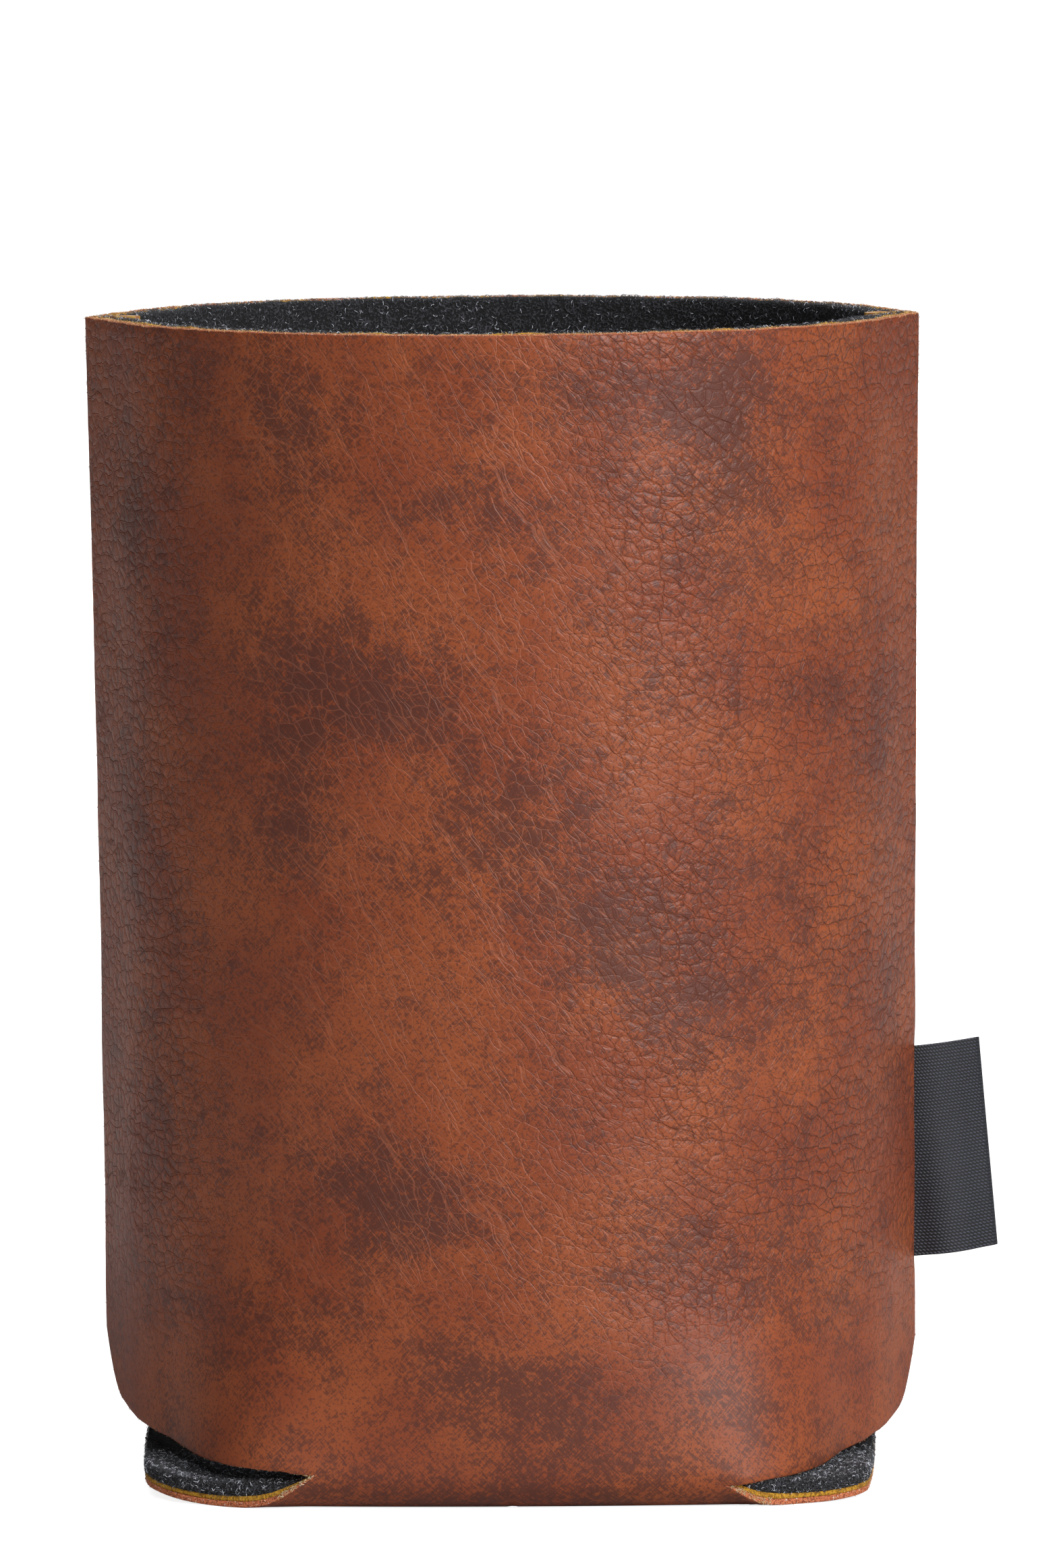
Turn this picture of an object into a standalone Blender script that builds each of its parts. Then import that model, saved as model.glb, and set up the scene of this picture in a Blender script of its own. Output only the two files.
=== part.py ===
"""Collapsible can cooler sleeve, standing open as it does round a can.

The sleeve is one die-cut blank of laminate: a leatherette cover, a thin foam core and a
fleece lining. The blank runs down the front wall, under the can and up the back wall. Its
side edges are pressed thin and welded into two seams. Notches beside each fold free the
four corners of the floor, which stay flat and reach past the round wall as feet. A folded
ribbon tag is caught in the right-hand seam.

Each ply starts as a flat slab with the outline of the blank, and fold() bends it to shape.
"""

import math

import bmesh
import bpy

# The can that the sleeve holds, and the plies from the outside in
can_radius = 0.0331
can_ease = 0.0002
cover_thickness = 0.0006
core_thickness = 0.0005
lining_thickness = 0.0011
bond_gap = 0.0003

# Walls: the round wall runs on as two flats that meet at each side seam
rim_height = 0.105
standoff_mouth_left = 0.0024
standoff_mouth_right = 0.0019
standoff_base = 0.0013
seam_gap = 0.0003
seam_press = 0.6
seam_press_width = 0.0045

# Floor: the fold at its front and back, and the feet at its corners, whose outer ends curl up
fold_inner_radius = 0.0004
hinge_left = 0.0172
hinge_right = 0.0185
foot_half_width = 0.0321
floor_side_bulge = 0.0013
foot_setback = 0.0040
foot_corner_left = 0.0075
foot_corner_right = 0.0055
foot_release_left = 0.011
foot_release_right = 0.004
curl_left = 0.0009
curl_right = 0.0004
curl_start = 0.025
curl_front = 0.014
curl_length = 0.012
foot_press = 0.75
foot_press_start = 0.010
foot_press_width = 0.006

# Lower edge of the wall beside the fold
notch_opening = 0.0004
notch_height = 0.012
notch_release = 0.003
edge_rise = 0.0036
edge_rise_power = 2.6
seam_foot_height = 0.0045
seam_foot_reach = 0.0065
flare_height = 0.022
flare_half_width = 0.0178
flare_reach = 0.020
fold_bow = 0.0006

# Weld bead on the inside of each seam
bead_depth = 0.0024
bead_root = 0.001
bead_tip = 0.0004
bead_rim_drop = 0.0004

# Ribbon tag in the right-hand seam
ribbon_thickness = 0.00025
ribbon_loop_radius = 0.0002
tag_width = 0.0194
tag_reach = 0.0067
tag_centre_height = 0.0277
tag_tilt = math.radians(5.0)
tag_sweep_back = 0.0026
seam_lead = 0.002

# How finely the sheets are divided
hinge_columns = 4
side_columns = 9
seam_columns = 3
foot_columns = 5
corner_columns = 4
fold_rows = 4
floor_rows = 3
notch_rows = 4

# Sizes that follow from the driving ones
laminate_thickness = cover_thickness + core_thickness + lining_thickness + 2 * bond_gap
wall_radius = can_radius + can_ease + laminate_thickness
fold_radius = laminate_thickness + fold_inner_radius
fold_start = wall_radius - fold_radius
fold_end = fold_start + fold_radius * math.pi / 2
slit_drop_right = fold_radius + notch_opening - laminate_thickness * foot_press - bond_gap
tag_half_thickness = ribbon_loop_radius + ribbon_thickness / 2
tag_half_height = tag_width / 2 / math.cos(tag_tilt)


def smooth(value):
    """0 below 0, 1 above 1, and an even S between them."""
    value = min(1.0, max(0.0, value))
    return value * value * (3 - 2 * value)


def mix(a, b, share):
    return a + (b - a) * share


def seam_angle(height, right_side):
    """Angle at which the flats leave the round wall, at this height."""
    share = max(0.0, height / rim_height)
    standoff_mouth = standoff_mouth_right if right_side else standoff_mouth_left
    standoff = mix(standoff_base, standoff_mouth, share * share)
    return math.acos(wall_radius / (wall_radius + standoff))


def seam_half_gap(height, right_side):
    """Half the gap between the front and back edges, which the tag widens where it passes."""
    if not right_side:
        return seam_gap / 2
    past_tag = abs(height - tag_centre_height) - tag_half_height
    widened = tag_half_thickness + bond_gap
    return mix(widened, seam_gap / 2, smooth(past_tag / seam_lead))


def pressed(depth, from_seam):
    """Depth below the cover's face, less near a seam, where the plies are pressed thin."""
    return depth * mix(seam_press, 1.0, smooth(from_seam / seam_press_width))


def wall_outline(share, height, depth):
    """A point of the wall's outline, seen from above: share is 0 mid-front and 1 at the right seam."""
    angle = seam_angle(height, share > 0)
    half_gap = seam_half_gap(height, share > 0)
    unit_length = math.pi / 2 - angle + math.tan(angle)
    from_seam = (1 - abs(share)) * wall_radius * unit_length
    radius = wall_radius - pressed(depth, from_seam)
    along = abs(share) * (radius * unit_length - half_gap / math.cos(angle))
    arc = radius * (math.pi / 2 - angle)
    if along <= arc:
        x = radius * math.sin(along / radius)
        y = -radius * math.cos(along / radius)
    else:
        x = radius * math.cos(angle) + (along - arc) * math.sin(angle)
        y = -radius * math.sin(angle) + (along - arc) * math.cos(angle)
    return math.copysign(x, share), y


def blank_half_width():
    angle = seam_angle(0, True)
    return wall_radius * (math.pi / 2 - angle + math.tan(angle))


def hinge_end(x):
    """Distance from mid-front to the end of the fold on the side of x, where the slit begins."""
    return hinge_right if x > 0 else hinge_left


def foot_corner(x):
    return foot_corner_right if x > 0 else foot_corner_left


def released(x):
    """How far a foot has come free of the fold at this column: 0 at the hinge, 1 when flat."""
    width = foot_release_right if x > 0 else foot_release_left
    share = min(1.0, max(0.0, (abs(x) - hinge_end(x)) / width))
    return smooth(share) if x > 0 else 0.75 * share + 1.5 * share**2 - 1.25 * share**3


def curled(x, along):
    """How far the outer corner of a foot lifts off the ground at this point."""
    lift = curl_right if x > 0 else curl_left
    outward = max(0.0, abs(x) - curl_start) / (foot_half_width - curl_start)
    return lift * outward**2 * smooth((along - curl_front) / curl_length)


def bowed(distance, x):
    """The fold bows out a little at mid-front and mid-back, and so does the floor behind it."""
    return distance * (1 - fold_bow / wall_radius * (x / flare_half_width) ** 2)


def bulged(x, y):
    """The sides of the floor bulge a little between the feet."""
    share = min(1.0, abs(y) / (wall_radius - foot_setback))
    return x * (1 + floor_side_bulge / foot_half_width * (1 - share**2))


def slit(x):
    """Distance from mid-floor to the slits. The right-hand ones are lower: there the wall stands on the feet."""
    return fold_end - slit_drop_right * (x > 0)


def bend(along, depth):
    """Distance from mid-floor and height of a point in the fold, or in the flat floor before it."""
    turn = max(0.0, along - fold_start) / fold_radius
    reach = min(along, fold_start) + (fold_radius - depth) * math.sin(turn)
    return reach, fold_radius - (fold_radius - depth) * math.cos(turn)


def wall_place(x, along, depth):
    """Where a point of a front wall goes: the round wall, flared out to meet the straight fold."""
    height = fold_radius + along - fold_end
    wall_x, wall_y = wall_outline(x / blank_half_width(), height, depth)
    above_fold = min(1.0, max(0.0, (along - fold_end) / flare_height))
    pull = (1 - above_fold) ** 2 * (1 - smooth((abs(x) - flare_half_width) / flare_reach))
    reach = mix(-wall_y, bowed(wall_radius - depth, x), pull)
    if along < fold_end:
        release = smooth((abs(x) - hinge_end(x)) / notch_release)
        bent_reach, bent_height = bend(along, depth)
        reach = mix(bowed(bent_reach, x), reach, release)
        height = mix(bent_height, height, release)
    return mix(wall_x, x, pull), reach, height


def floor_place(x, along, depth):
    """Where a point of the floor goes: bent up at the fold, flat and pressed thinner in the feet."""
    release = released(x)
    bent_reach, bent_height = bend(along, depth)
    reach = mix(bowed(bent_reach, x), along, release)
    in_foot = smooth((along - foot_press_start) / foot_press_width)
    flat_height = depth * mix(1.0, foot_press, in_foot) + curled(x, along)
    return bulged(x, along), reach, mix(bent_height, flat_height, release)


def fold(x, y, depth):
    """Where a point of the flat blank goes: x across, y along from mid-floor, depth below the cover's face."""
    place = wall_place if abs(y) > slit(x) else floor_place
    placed_x, reach, height = place(x, abs(y), depth)
    return placed_x, math.copysign(reach, y), height


def foot_edge(x):
    """Distance from mid-floor to the end of the floor strip at this column."""
    edge = mix(slit(x), wall_radius - foot_setback, released(x))
    radius = foot_corner(x)
    into_corner = min(radius, abs(x) - (foot_half_width - radius))
    if into_corner > 0:
        edge -= radius - math.sqrt(radius**2 - into_corner**2)
    return edge


def wall_edge(x):
    """Distance from mid-floor to the wall's lower edge, which rises to a rounded foot at the seam."""
    past_flat = max(0.0, abs(x) - flare_half_width)
    side_width = blank_half_width() - flare_half_width
    opening = notch_opening * smooth((abs(x) - hinge_end(x)) / notch_release)
    rise = edge_rise * (past_flat / side_width) ** edge_rise_power
    into_foot = max(0.0, past_flat - side_width + seam_foot_reach) / seam_foot_reach
    return slit(x) + opening + rise + seam_foot_height * into_foot**2


def evenly(start, end, steps):
    """The ends of equal steps from start to end, without start."""
    return [mix(start, end, step / steps) for step in range(1, steps + 1)]


def both_sides(half):
    """half(side) for the left and the right side, joined in order with 0 between them."""
    return [-value for value in reversed(half(-1))] + [0.0] + half(1)


def strip_half(side):
    """Columns of half the floor strip: the hinge, the foot beside it, and its round corner."""
    hinge, radius = hinge_end(side), foot_corner(side)
    corner_start = foot_half_width - radius
    turns = evenly(0.0, math.pi / 2, corner_columns)
    return (
        evenly(0.0, hinge, hinge_columns)
        + evenly(hinge, corner_start, foot_columns)
        + [corner_start + radius * math.sin(turn) for turn in turns]
    )


def wall_half(side):
    """Columns of half a wall: the hinge, the round wall beside it, and the edge pressed thin."""
    hinge, half_width = hinge_end(side), blank_half_width()
    foot_start = half_width - seam_foot_reach
    return (
        evenly(0.0, hinge, hinge_columns)
        + evenly(hinge, foot_start, side_columns)
        + evenly(foot_start, half_width, seam_columns)
    )


def strip_rows(x):
    """Rows of one column of the floor strip, from its front end to its back end."""
    edge = foot_edge(x)
    inner = edge - fold_radius * math.pi / 2
    halves = evenly(0.0, inner, floor_rows) + evenly(inner, edge, fold_rows)
    return both_sides(lambda side: halves)


def wall_rows(x):
    """Rows of one column of a wall, from its lower edge to the rim."""
    edge = wall_edge(x)
    floor_level = fold_end - fold_radius
    notch_top = fold_end + notch_height
    tag_low = floor_level + tag_centre_height - tag_half_height
    tag_high = floor_level + tag_centre_height + tag_half_height
    rim = floor_level + rim_height
    levels = [tag_low - seam_lead, tag_low, tag_high, tag_high + seam_lead]
    levels += evenly(tag_high + seam_lead, rim, 3)
    above_notch = [level for level in levels if level > notch_top]
    return [edge] + evenly(edge, notch_top, notch_rows) + above_notch


def add_patch(bm, columns, rows_of):
    """Adds a patch of faces to the blank, one strip of them between each two columns."""
    grid = [[bm.verts.new((x, y, 0)) for y in rows_of(x)] for x in columns]
    for left, right in zip(grid, grid[1:]):
        for row in range(len(left) - 1):
            bm.faces.new((left[row], right[row], right[row + 1], left[row + 1]))


def flat_blank():
    """The die-cut blank, flat, as one open surface."""
    bm = bmesh.new()
    wall_columns = both_sides(wall_half)
    add_patch(bm, both_sides(strip_half), strip_rows)
    add_patch(bm, wall_columns, wall_rows)
    add_patch(bm, wall_columns, lambda x: [-y for y in reversed(wall_rows(x))])
    bmesh.ops.remove_doubles(bm, verts=bm.verts, dist=1e-6)
    return bm


def rectangle(length_cuts, width_cuts):
    """A flat unit square from 0 to 1 in X and -1 to 1 in Y, cut into faces."""
    bm = bmesh.new()
    bmesh.ops.create_grid(bm, x_segments=length_cuts, y_segments=width_cuts, size=0.5)
    for vert in bm.verts:
        vert.co.x += 0.5
        vert.co.y *= 2
    return bm


def thicken_and_place(bm, thickness, place):
    """Turns a flat sheet into a slab and moves each of its points to place(x, y, depth)."""
    bmesh.ops.solidify(bm, geom=bm.faces[:], thickness=thickness)
    for vert in bm.verts:
        vert.co = place(vert.co.x, vert.co.y, abs(vert.co.z))
    bmesh.ops.recalc_face_normals(bm, faces=bm.faces)


def make_material(name, colour, roughness):
    material = bpy.data.materials.new(name)
    material.use_nodes = True
    shader = material.node_tree.nodes["Principled BSDF"]
    shader.inputs["Base Color"].default_value = (*colour, 1)
    shader.inputs["Roughness"].default_value = roughness
    shader.inputs["Metallic"].default_value = 0.0
    return material


def add_object(name, bm, material, collection, parent):
    mesh = bpy.data.meshes.new(name)
    bm.to_mesh(mesh)
    bm.free()
    mesh.shade_smooth()
    mesh.set_sharp_from_angle(angle=math.radians(40))
    mesh.materials.append(material)
    obj = bpy.data.objects.new(name, mesh)
    obj.parent = parent
    collection.objects.link(obj)
    return obj


def make_ply(outer_depth, thickness):
    """One ply of the laminate, cut flat with the blank's outline and folded at its own depth."""
    bm = flat_blank()
    thicken_and_place(bm, thickness, lambda x, y, z: fold(x, y, outer_depth + z))
    return bm


def inner_corner(height, right_side):
    """Distance from the axis to the inner corner of a seam, where the two linings meet."""
    pressed_thickness = laminate_thickness * seam_press
    return (wall_radius - pressed_thickness) / math.cos(seam_angle(height, right_side))


def make_bead(side):
    """The weld bead inside one seam: a wedge that narrows towards the can. side is 1 or -1."""
    low = fold_radius + notch_opening + edge_rise + seam_foot_height
    high = rim_height - bead_rim_drop

    def place(share, across, depth):
        height = mix(low, high, share)
        inward = (across + 1) / 2
        x = inner_corner(height, side > 0) - bond_gap - bead_depth * inward
        y = (depth - 0.5) * mix(bead_root, bead_tip, inward)
        return side * x, y, height

    bm = rectangle(6, 1)
    thicken_and_place(bm, 1.0, place)
    return bm


def make_tag():
    """The ribbon tag: folded in half round a small loop, its two ends held in the seam."""
    loop_length = math.pi / 2 * ribbon_loop_radius
    loop_cuts = 4
    leg_cuts = 4

    def place(share, across, depth):
        up = across * tag_width / 2
        offset = depth - ribbon_thickness / 2
        seam_x = wall_radius / math.cos(seam_angle(tag_centre_height, True))
        buried = seam_x - inner_corner(tag_centre_height, True) - bond_gap
        root = (up * math.sin(tag_tilt) - buried) / math.cos(tag_tilt)
        tip = tag_reach - ribbon_loop_radius
        position = (share * 2 - 1) * (leg_cuts + loop_cuts)
        leg = max(0.0, abs(position) - loop_cuts) / leg_cuts
        turn = min(abs(position), loop_cuts) * loop_length / loop_cuts / ribbon_loop_radius
        radius = ribbon_loop_radius + offset
        out = mix(tip, root, leg) + radius * math.cos(turn)
        back = math.copysign(radius * math.sin(turn), position)
        sweep = tag_sweep_back * max(0.0, out / tag_reach) ** 2
        x = seam_x + out * math.cos(tag_tilt) - up * math.sin(tag_tilt)
        z = tag_centre_height + out * math.sin(tag_tilt) + up * math.cos(tag_tilt)
        return x, back + sweep, z

    bm = rectangle(2 * (leg_cuts + loop_cuts), 4)
    thicken_and_place(bm, ribbon_thickness, place)
    return bm


def clear_scene():
    for obj in list(bpy.data.objects):
        bpy.data.objects.remove(obj)


def main():
    clear_scene()
    collection = bpy.data.collections.new("can_cooler_sleeve")
    bpy.context.scene.collection.children.link(collection)
    sleeve = bpy.data.objects.new("sleeve", None)
    collection.objects.link(sleeve)

    leatherette = make_material("leatherette", (0.24, 0.075, 0.035), 0.5)
    foam = make_material("foam", (0.42, 0.24, 0.06), 0.9)
    fleece = make_material("fleece", (0.018, 0.018, 0.02), 0.95)
    weld = make_material("weld", (0.45, 0.2, 0.06), 0.6)
    ribbon = make_material("ribbon", (0.025, 0.025, 0.03), 0.6)

    core_depth = cover_thickness + bond_gap
    lining_depth = core_depth + core_thickness + bond_gap
    add_object("outer_cover", make_ply(0.0, cover_thickness), leatherette, collection, sleeve)
    add_object("foam_core", make_ply(core_depth, core_thickness), foam, collection, sleeve)
    add_object("fleece_lining", make_ply(lining_depth, lining_thickness), fleece, collection, sleeve)
    add_object("left_seam_bead", make_bead(-1), weld, collection, sleeve)
    add_object("right_seam_bead", make_bead(1), weld, collection, sleeve)
    add_object("side_tag", make_tag(), ribbon, collection, sleeve)


main()
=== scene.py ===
# %% [markdown]
# # A can cooler sleeve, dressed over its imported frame
# The sleeve is a soft tube with a folded floor. One blank of laminate is cut from
# sheet, folded across the middle and welded up both sides. The laminate has a leatherette
# face, a thin yellow foam core and a charcoal fleece lining.
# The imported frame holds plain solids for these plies. This lesson gives each of them a
# finely divided mesh at the same place, and a finish made of nodes.
# Lengths are metres, and Z points up.

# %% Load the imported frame
import math

import bmesh
import bpy
from mathutils import Matrix, Vector, noise


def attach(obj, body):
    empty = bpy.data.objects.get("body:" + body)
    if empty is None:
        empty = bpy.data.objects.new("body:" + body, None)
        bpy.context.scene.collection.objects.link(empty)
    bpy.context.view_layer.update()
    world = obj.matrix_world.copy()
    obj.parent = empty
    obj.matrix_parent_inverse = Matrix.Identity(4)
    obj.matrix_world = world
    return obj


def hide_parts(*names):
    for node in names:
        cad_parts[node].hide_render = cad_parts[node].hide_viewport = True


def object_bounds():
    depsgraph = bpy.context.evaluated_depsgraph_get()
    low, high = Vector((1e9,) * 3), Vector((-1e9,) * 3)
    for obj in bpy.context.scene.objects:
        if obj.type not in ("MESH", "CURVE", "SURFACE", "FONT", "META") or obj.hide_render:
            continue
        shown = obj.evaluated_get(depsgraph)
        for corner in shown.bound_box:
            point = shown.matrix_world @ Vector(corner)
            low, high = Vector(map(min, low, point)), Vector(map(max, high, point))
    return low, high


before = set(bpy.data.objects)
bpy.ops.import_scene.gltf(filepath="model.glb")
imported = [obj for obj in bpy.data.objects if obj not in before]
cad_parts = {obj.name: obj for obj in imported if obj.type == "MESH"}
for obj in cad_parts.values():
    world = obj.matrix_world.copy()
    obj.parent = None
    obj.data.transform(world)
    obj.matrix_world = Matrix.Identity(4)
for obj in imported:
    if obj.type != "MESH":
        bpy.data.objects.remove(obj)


def plain_box(box):
    return [[float(value) for value in corner] for corner in box]


cad_box = plain_box(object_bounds())
print("nodes:", sorted(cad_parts))
print("CAD box:", cad_box)

# %% [markdown]
# ## The camera
# A long lens stands a metre away and looks down a little, so both walls of the mouth
# show but the sides stay almost parallel. Its place, three turns and focal length were
# worked out by fitting the model's corners to the photograph.
# The focal length is in pixels of the photograph, whose long side spans the sensor.

# %% Camera
photo_long_side = 2324
focal_pixels = 16187
sensor_width_mm = 36.0
camera_place = Vector((0.0136, -1.0, 0.1551))
camera_yaw = math.radians(-0.657)
camera_pitch = math.radians(5.328)
camera_roll = math.radians(-0.350)

camera_data = bpy.data.cameras.new("photo_camera")
camera_data.sensor_width = sensor_width_mm
camera_data.lens = focal_pixels / photo_long_side * sensor_width_mm
camera_data.clip_end = 50.0
camera = bpy.data.objects.new("photo_camera", camera_data)
camera.matrix_world = (
    Matrix.Translation(camera_place)
    @ Matrix.Rotation(-camera_yaw, 4, "Z")
    @ Matrix.Rotation(math.pi / 2 - camera_pitch, 4, "X")
    @ Matrix.Rotation(camera_roll, 4, "Z")
)
bpy.context.scene.collection.objects.link(camera)
bpy.context.scene.camera = camera
print("lens:", round(camera_data.lens, 1), "mm")

# %% [markdown]
# ## Wires: node trees written as sums
# A finish is mostly arithmetic on patterns. Placed by hand, each sum is a Math node and
# three links. Here one small class stands for an output socket. Its operators add the
# Math nodes, so `0.4 + 0.2 * grain` is a line of code and a piece of the tree.
# `add_node` makes every other node: its type, its settings, then its sockets.

# %% Node helpers


class Wire:
    """An output socket of a node tree. Arithmetic on it adds Math nodes."""

    def __init__(self, tree, socket):
        self.tree = tree
        self.socket = socket

    def maths(self, operation, *values):
        settings = {"operation": operation}
        return add_node(self.tree, "ShaderNodeMath", settings, dict(enumerate(values)))

    def __add__(self, other):
        return self.maths("ADD", self, other)

    def __radd__(self, other):
        return self.maths("ADD", other, self)

    def __sub__(self, other):
        return self.maths("SUBTRACT", self, other)

    def __rsub__(self, other):
        return self.maths("SUBTRACT", other, self)

    def __mul__(self, other):
        return self.maths("MULTIPLY", self, other)

    def __rmul__(self, other):
        return self.maths("MULTIPLY", other, self)

    def __truediv__(self, other):
        return self.maths("DIVIDE", self, other)

    def __rtruediv__(self, other):
        return self.maths("DIVIDE", other, self)

    def __abs__(self):
        return self.maths("ABSOLUTE", self)

    def step(self, low, high):
        """0 below low, 1 above high, and a smooth ramp between. high may be the lower."""
        settings = {"interpolation_type": "SMOOTHSTEP"}
        sockets = {"Value": self, "From Min": low, "From Max": high}
        return add_node(self.tree, "ShaderNodeMapRange", settings, sockets)


def add_node(tree, kind, settings=None, sockets=None, output=0):
    """Adds one node and returns one of its outputs as a Wire. Settings come before sockets."""
    node = tree.nodes.new(kind)
    for name, value in (settings or {}).items():
        setattr(node, name, value)
    for name, value in (sockets or {}).items():
        socket = node.inputs[name]
        if isinstance(value, Wire):
            tree.links.new(value.socket, socket)
        else:
            socket.default_value = value
    return Wire(tree, node.outputs[output]) if len(node.outputs) else node


def vector_maths(tree, operation, sockets, output=0):
    """A sum on places, which a Math node would turn into one number."""
    return add_node(tree, "ShaderNodeVectorMath", {"operation": operation}, sockets, output)


def mix_colours(share, first, second):
    """A colour between two. share is a Wire: 0 gives the first and 1 the second."""
    sockets = {0: share, 6: first, 7: second}
    return add_node(share.tree, "ShaderNodeMix", {"data_type": "RGBA"}, sockets, output=2)


def colour(red, green, blue):
    """A colour given as it looks on screen, 0 to 255, turned into light."""
    channels = [value / 255 for value in (red, green, blue)]
    return (*(((c + 0.055) / 1.055) ** 2.4 for c in channels), 1.0)


print("helpers ready")

# %% [markdown]
# ## Floor and light
# The sleeve stands on a white sweep: a floor that turns up into a backdrop far behind.
# It looks pure white through the camera, but it keeps the soft shadow under the
# sleeve, because only camera rays get the extra glow that lifts it to white.
# One large soft box at the right gives the broad sheen on the leather. A weaker one hangs
# high in front: it brightens the upright walls, but its reflection in them goes down to
# the floor, so it adds no second sheen. One behind and one above light the back wall and
# the mouth, which other views show. A pale world fills in the rest.

# %% Floor sweep
sweep_half_width = 6.0
sweep_front = -3.0
sweep_back = 8.0
sweep_radius = 1.5
sweep_top = 5.0
sweep_turns = 12
sweep_grey = 0.60
glow_by_sleeve = 0.86
glow_gain = 0.12
glow_gains_from, glow_gains_to = 0.10, 1.2


def sweep_profile():
    """Points of the sweep from front to top, as (y, z)."""
    points = [(sweep_front, 0.0)]
    for step in range(sweep_turns + 1):
        turn = math.pi / 2 * step / sweep_turns
        points.append(
            (sweep_back + sweep_radius * math.sin(turn), sweep_radius * (1 - math.cos(turn)))
        )
    return points + [(sweep_back + sweep_radius, sweep_top)]


def make_sweep():
    bm = bmesh.new()
    rows = [
        [bm.verts.new((side * sweep_half_width, y, z)) for side in (-1, 1)]
        for y, z in sweep_profile()
    ]
    for lower, upper in zip(rows, rows[1:]):
        bm.faces.new((lower[0], lower[1], upper[1], upper[0]))
    mesh = bpy.data.meshes.new("sweep")
    bm.to_mesh(mesh)
    bm.free()
    mesh.shade_smooth()
    sweep = bpy.data.objects.new("sweep", mesh)
    bpy.context.scene.collection.objects.link(sweep)
    return sweep


def sweep_finish():
    """A grey floor that glows up to white for the camera, a little less round the sleeve."""
    material = bpy.data.materials.new("white_sweep")
    material.use_nodes = True
    tree = material.node_tree
    tree.nodes.clear()
    seen = add_node(tree, "ShaderNodeLightPath", output="Is Camera Ray")
    place = add_node(tree, "ShaderNodeTexCoord", output="Object")
    away = vector_maths(tree, "LENGTH", {0: place}, "Value")
    glow = seen * (glow_by_sleeve + glow_gain * away.step(glow_gains_from, glow_gains_to))
    shader = add_node(
        tree,
        "ShaderNodeBsdfPrincipled",
        sockets={
            "Base Color": (sweep_grey, sweep_grey, sweep_grey, 1),
            "Roughness": 0.9,
            "Emission Color": (1, 1, 1, 1),
            "Emission Strength": glow,
        },
    )
    add_node(tree, "ShaderNodeOutputMaterial", sockets={"Surface": shader})
    return material


sweep = make_sweep()
sweep.data.materials.append(sweep_finish())
print("sweep:", len(sweep.data.polygons), "faces")

# %% Lamps and world
world_strength = 0.10
lamps = {
    # name: (place, width, height, power in watts)
    "right_soft_box": ((0.95, -0.95, 0.70), 0.7, 1.0, 20.0),
    "high_front_box": ((-0.45, -0.85, 1.25), 0.8, 0.8, 4.8),
    "rear_soft_box": ((-0.10, 1.30, 0.80), 0.8, 0.8, 6.0),
    "top_soft_box": ((0.1, 0.3, 1.4), 0.9, 0.9, 4.0),
}
lamp_aim = Vector((0.0, 0.0, 0.055))


def add_lamp(name, place, width, height, power):
    data = bpy.data.lights.new(name, "AREA")
    data.shape = "RECTANGLE"
    data.size, data.size_y = width, height
    data.energy = power
    lamp = bpy.data.objects.new(name, data)
    lamp.location = place
    lamp.rotation_euler = (lamp_aim - Vector(place)).to_track_quat("-Z", "Y").to_euler()
    bpy.context.scene.collection.objects.link(lamp)


for lamp_name, (place, width, height, power) in lamps.items():
    add_lamp(lamp_name, place, width, height, power)

world = bpy.data.worlds.new("pale_room")
world.use_nodes = True
background = world.node_tree.nodes["Background"]
background.inputs["Color"].default_value = (1.0, 1.0, 1.0, 1)
seen = add_node(world.node_tree, "ShaderNodeLightPath", output="Is Camera Ray")
strength = world_strength + seen * (1 - world_strength)
world.node_tree.links.new(strength.socket, background.inputs["Strength"])
bpy.context.scene.world = world
bpy.context.scene.view_settings.view_transform = "Standard"
print("lamps:", len(lamps))

# %% [markdown]
# ## The fold: from a flat blank to a standing sleeve
# The real sleeve starts as a flat die-cut blank, and so does each ply here. A point of
# the blank has x across it, y along it from mid-floor, and a depth below the outer
# face. `fold` says where that point goes: along the flat floor, round the bend and up
# the round wall to the side seams. Every ply is folded by the same rule at its own
# depth, so the plies stay against each other everywhere.
# The sizes are the frame's own, so the visual plies lie where its solids lie.

# %% Driving dimensions
laminate_thickness = 0.0028
wall_radius = 0.0361
rim_height = cad_box[1][2]
standoff_mouth_left = 0.0024
standoff_mouth_right = 0.0019
seam_standoff_base = 0.0013
seam_gap = 0.0001
seam_press = 0.6
seam_press_width = 0.0045

inner_fold_radius = 0.0004
fold_radius = laminate_thickness + inner_fold_radius
fold_start = wall_radius - fold_radius
fold_end = fold_start + fold_radius * math.pi / 2
floor_level = fold_end - fold_radius
hinge_left = 0.0172
hinge_right = 0.0199
foot_half_width = 0.0321
floor_side_bulge = 0.0013
foot_setback = 0.0040
foot_corner_left = 0.0075
foot_corner_right = 0.0055
release_left = 0.0110
release_right = 0.0080
release_start_slope = 0.75
curl_left = 0.0009
curl_right = 0.0004
curl_start = 0.025
curl_along_start = 0.014
curl_along_width = 0.012
foot_press = 0.75
foot_press_start = 0.010
foot_press_width = 0.006

notch_opening = 0.0004
notch_lead = 0.004
ply_clearance = 0.0003
slit_drop_right = (
    fold_radius + notch_opening - laminate_thickness * foot_press - ply_clearance
)
edge_rise = 0.0036
edge_rise_power = 2.6
seam_foot_height = 0.0045
seam_foot_reach = 0.0065
flare_height = 0.022
flare_half_width = 0.0178
flare_reach = 0.020
hinge_bow = 0.0006

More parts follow.
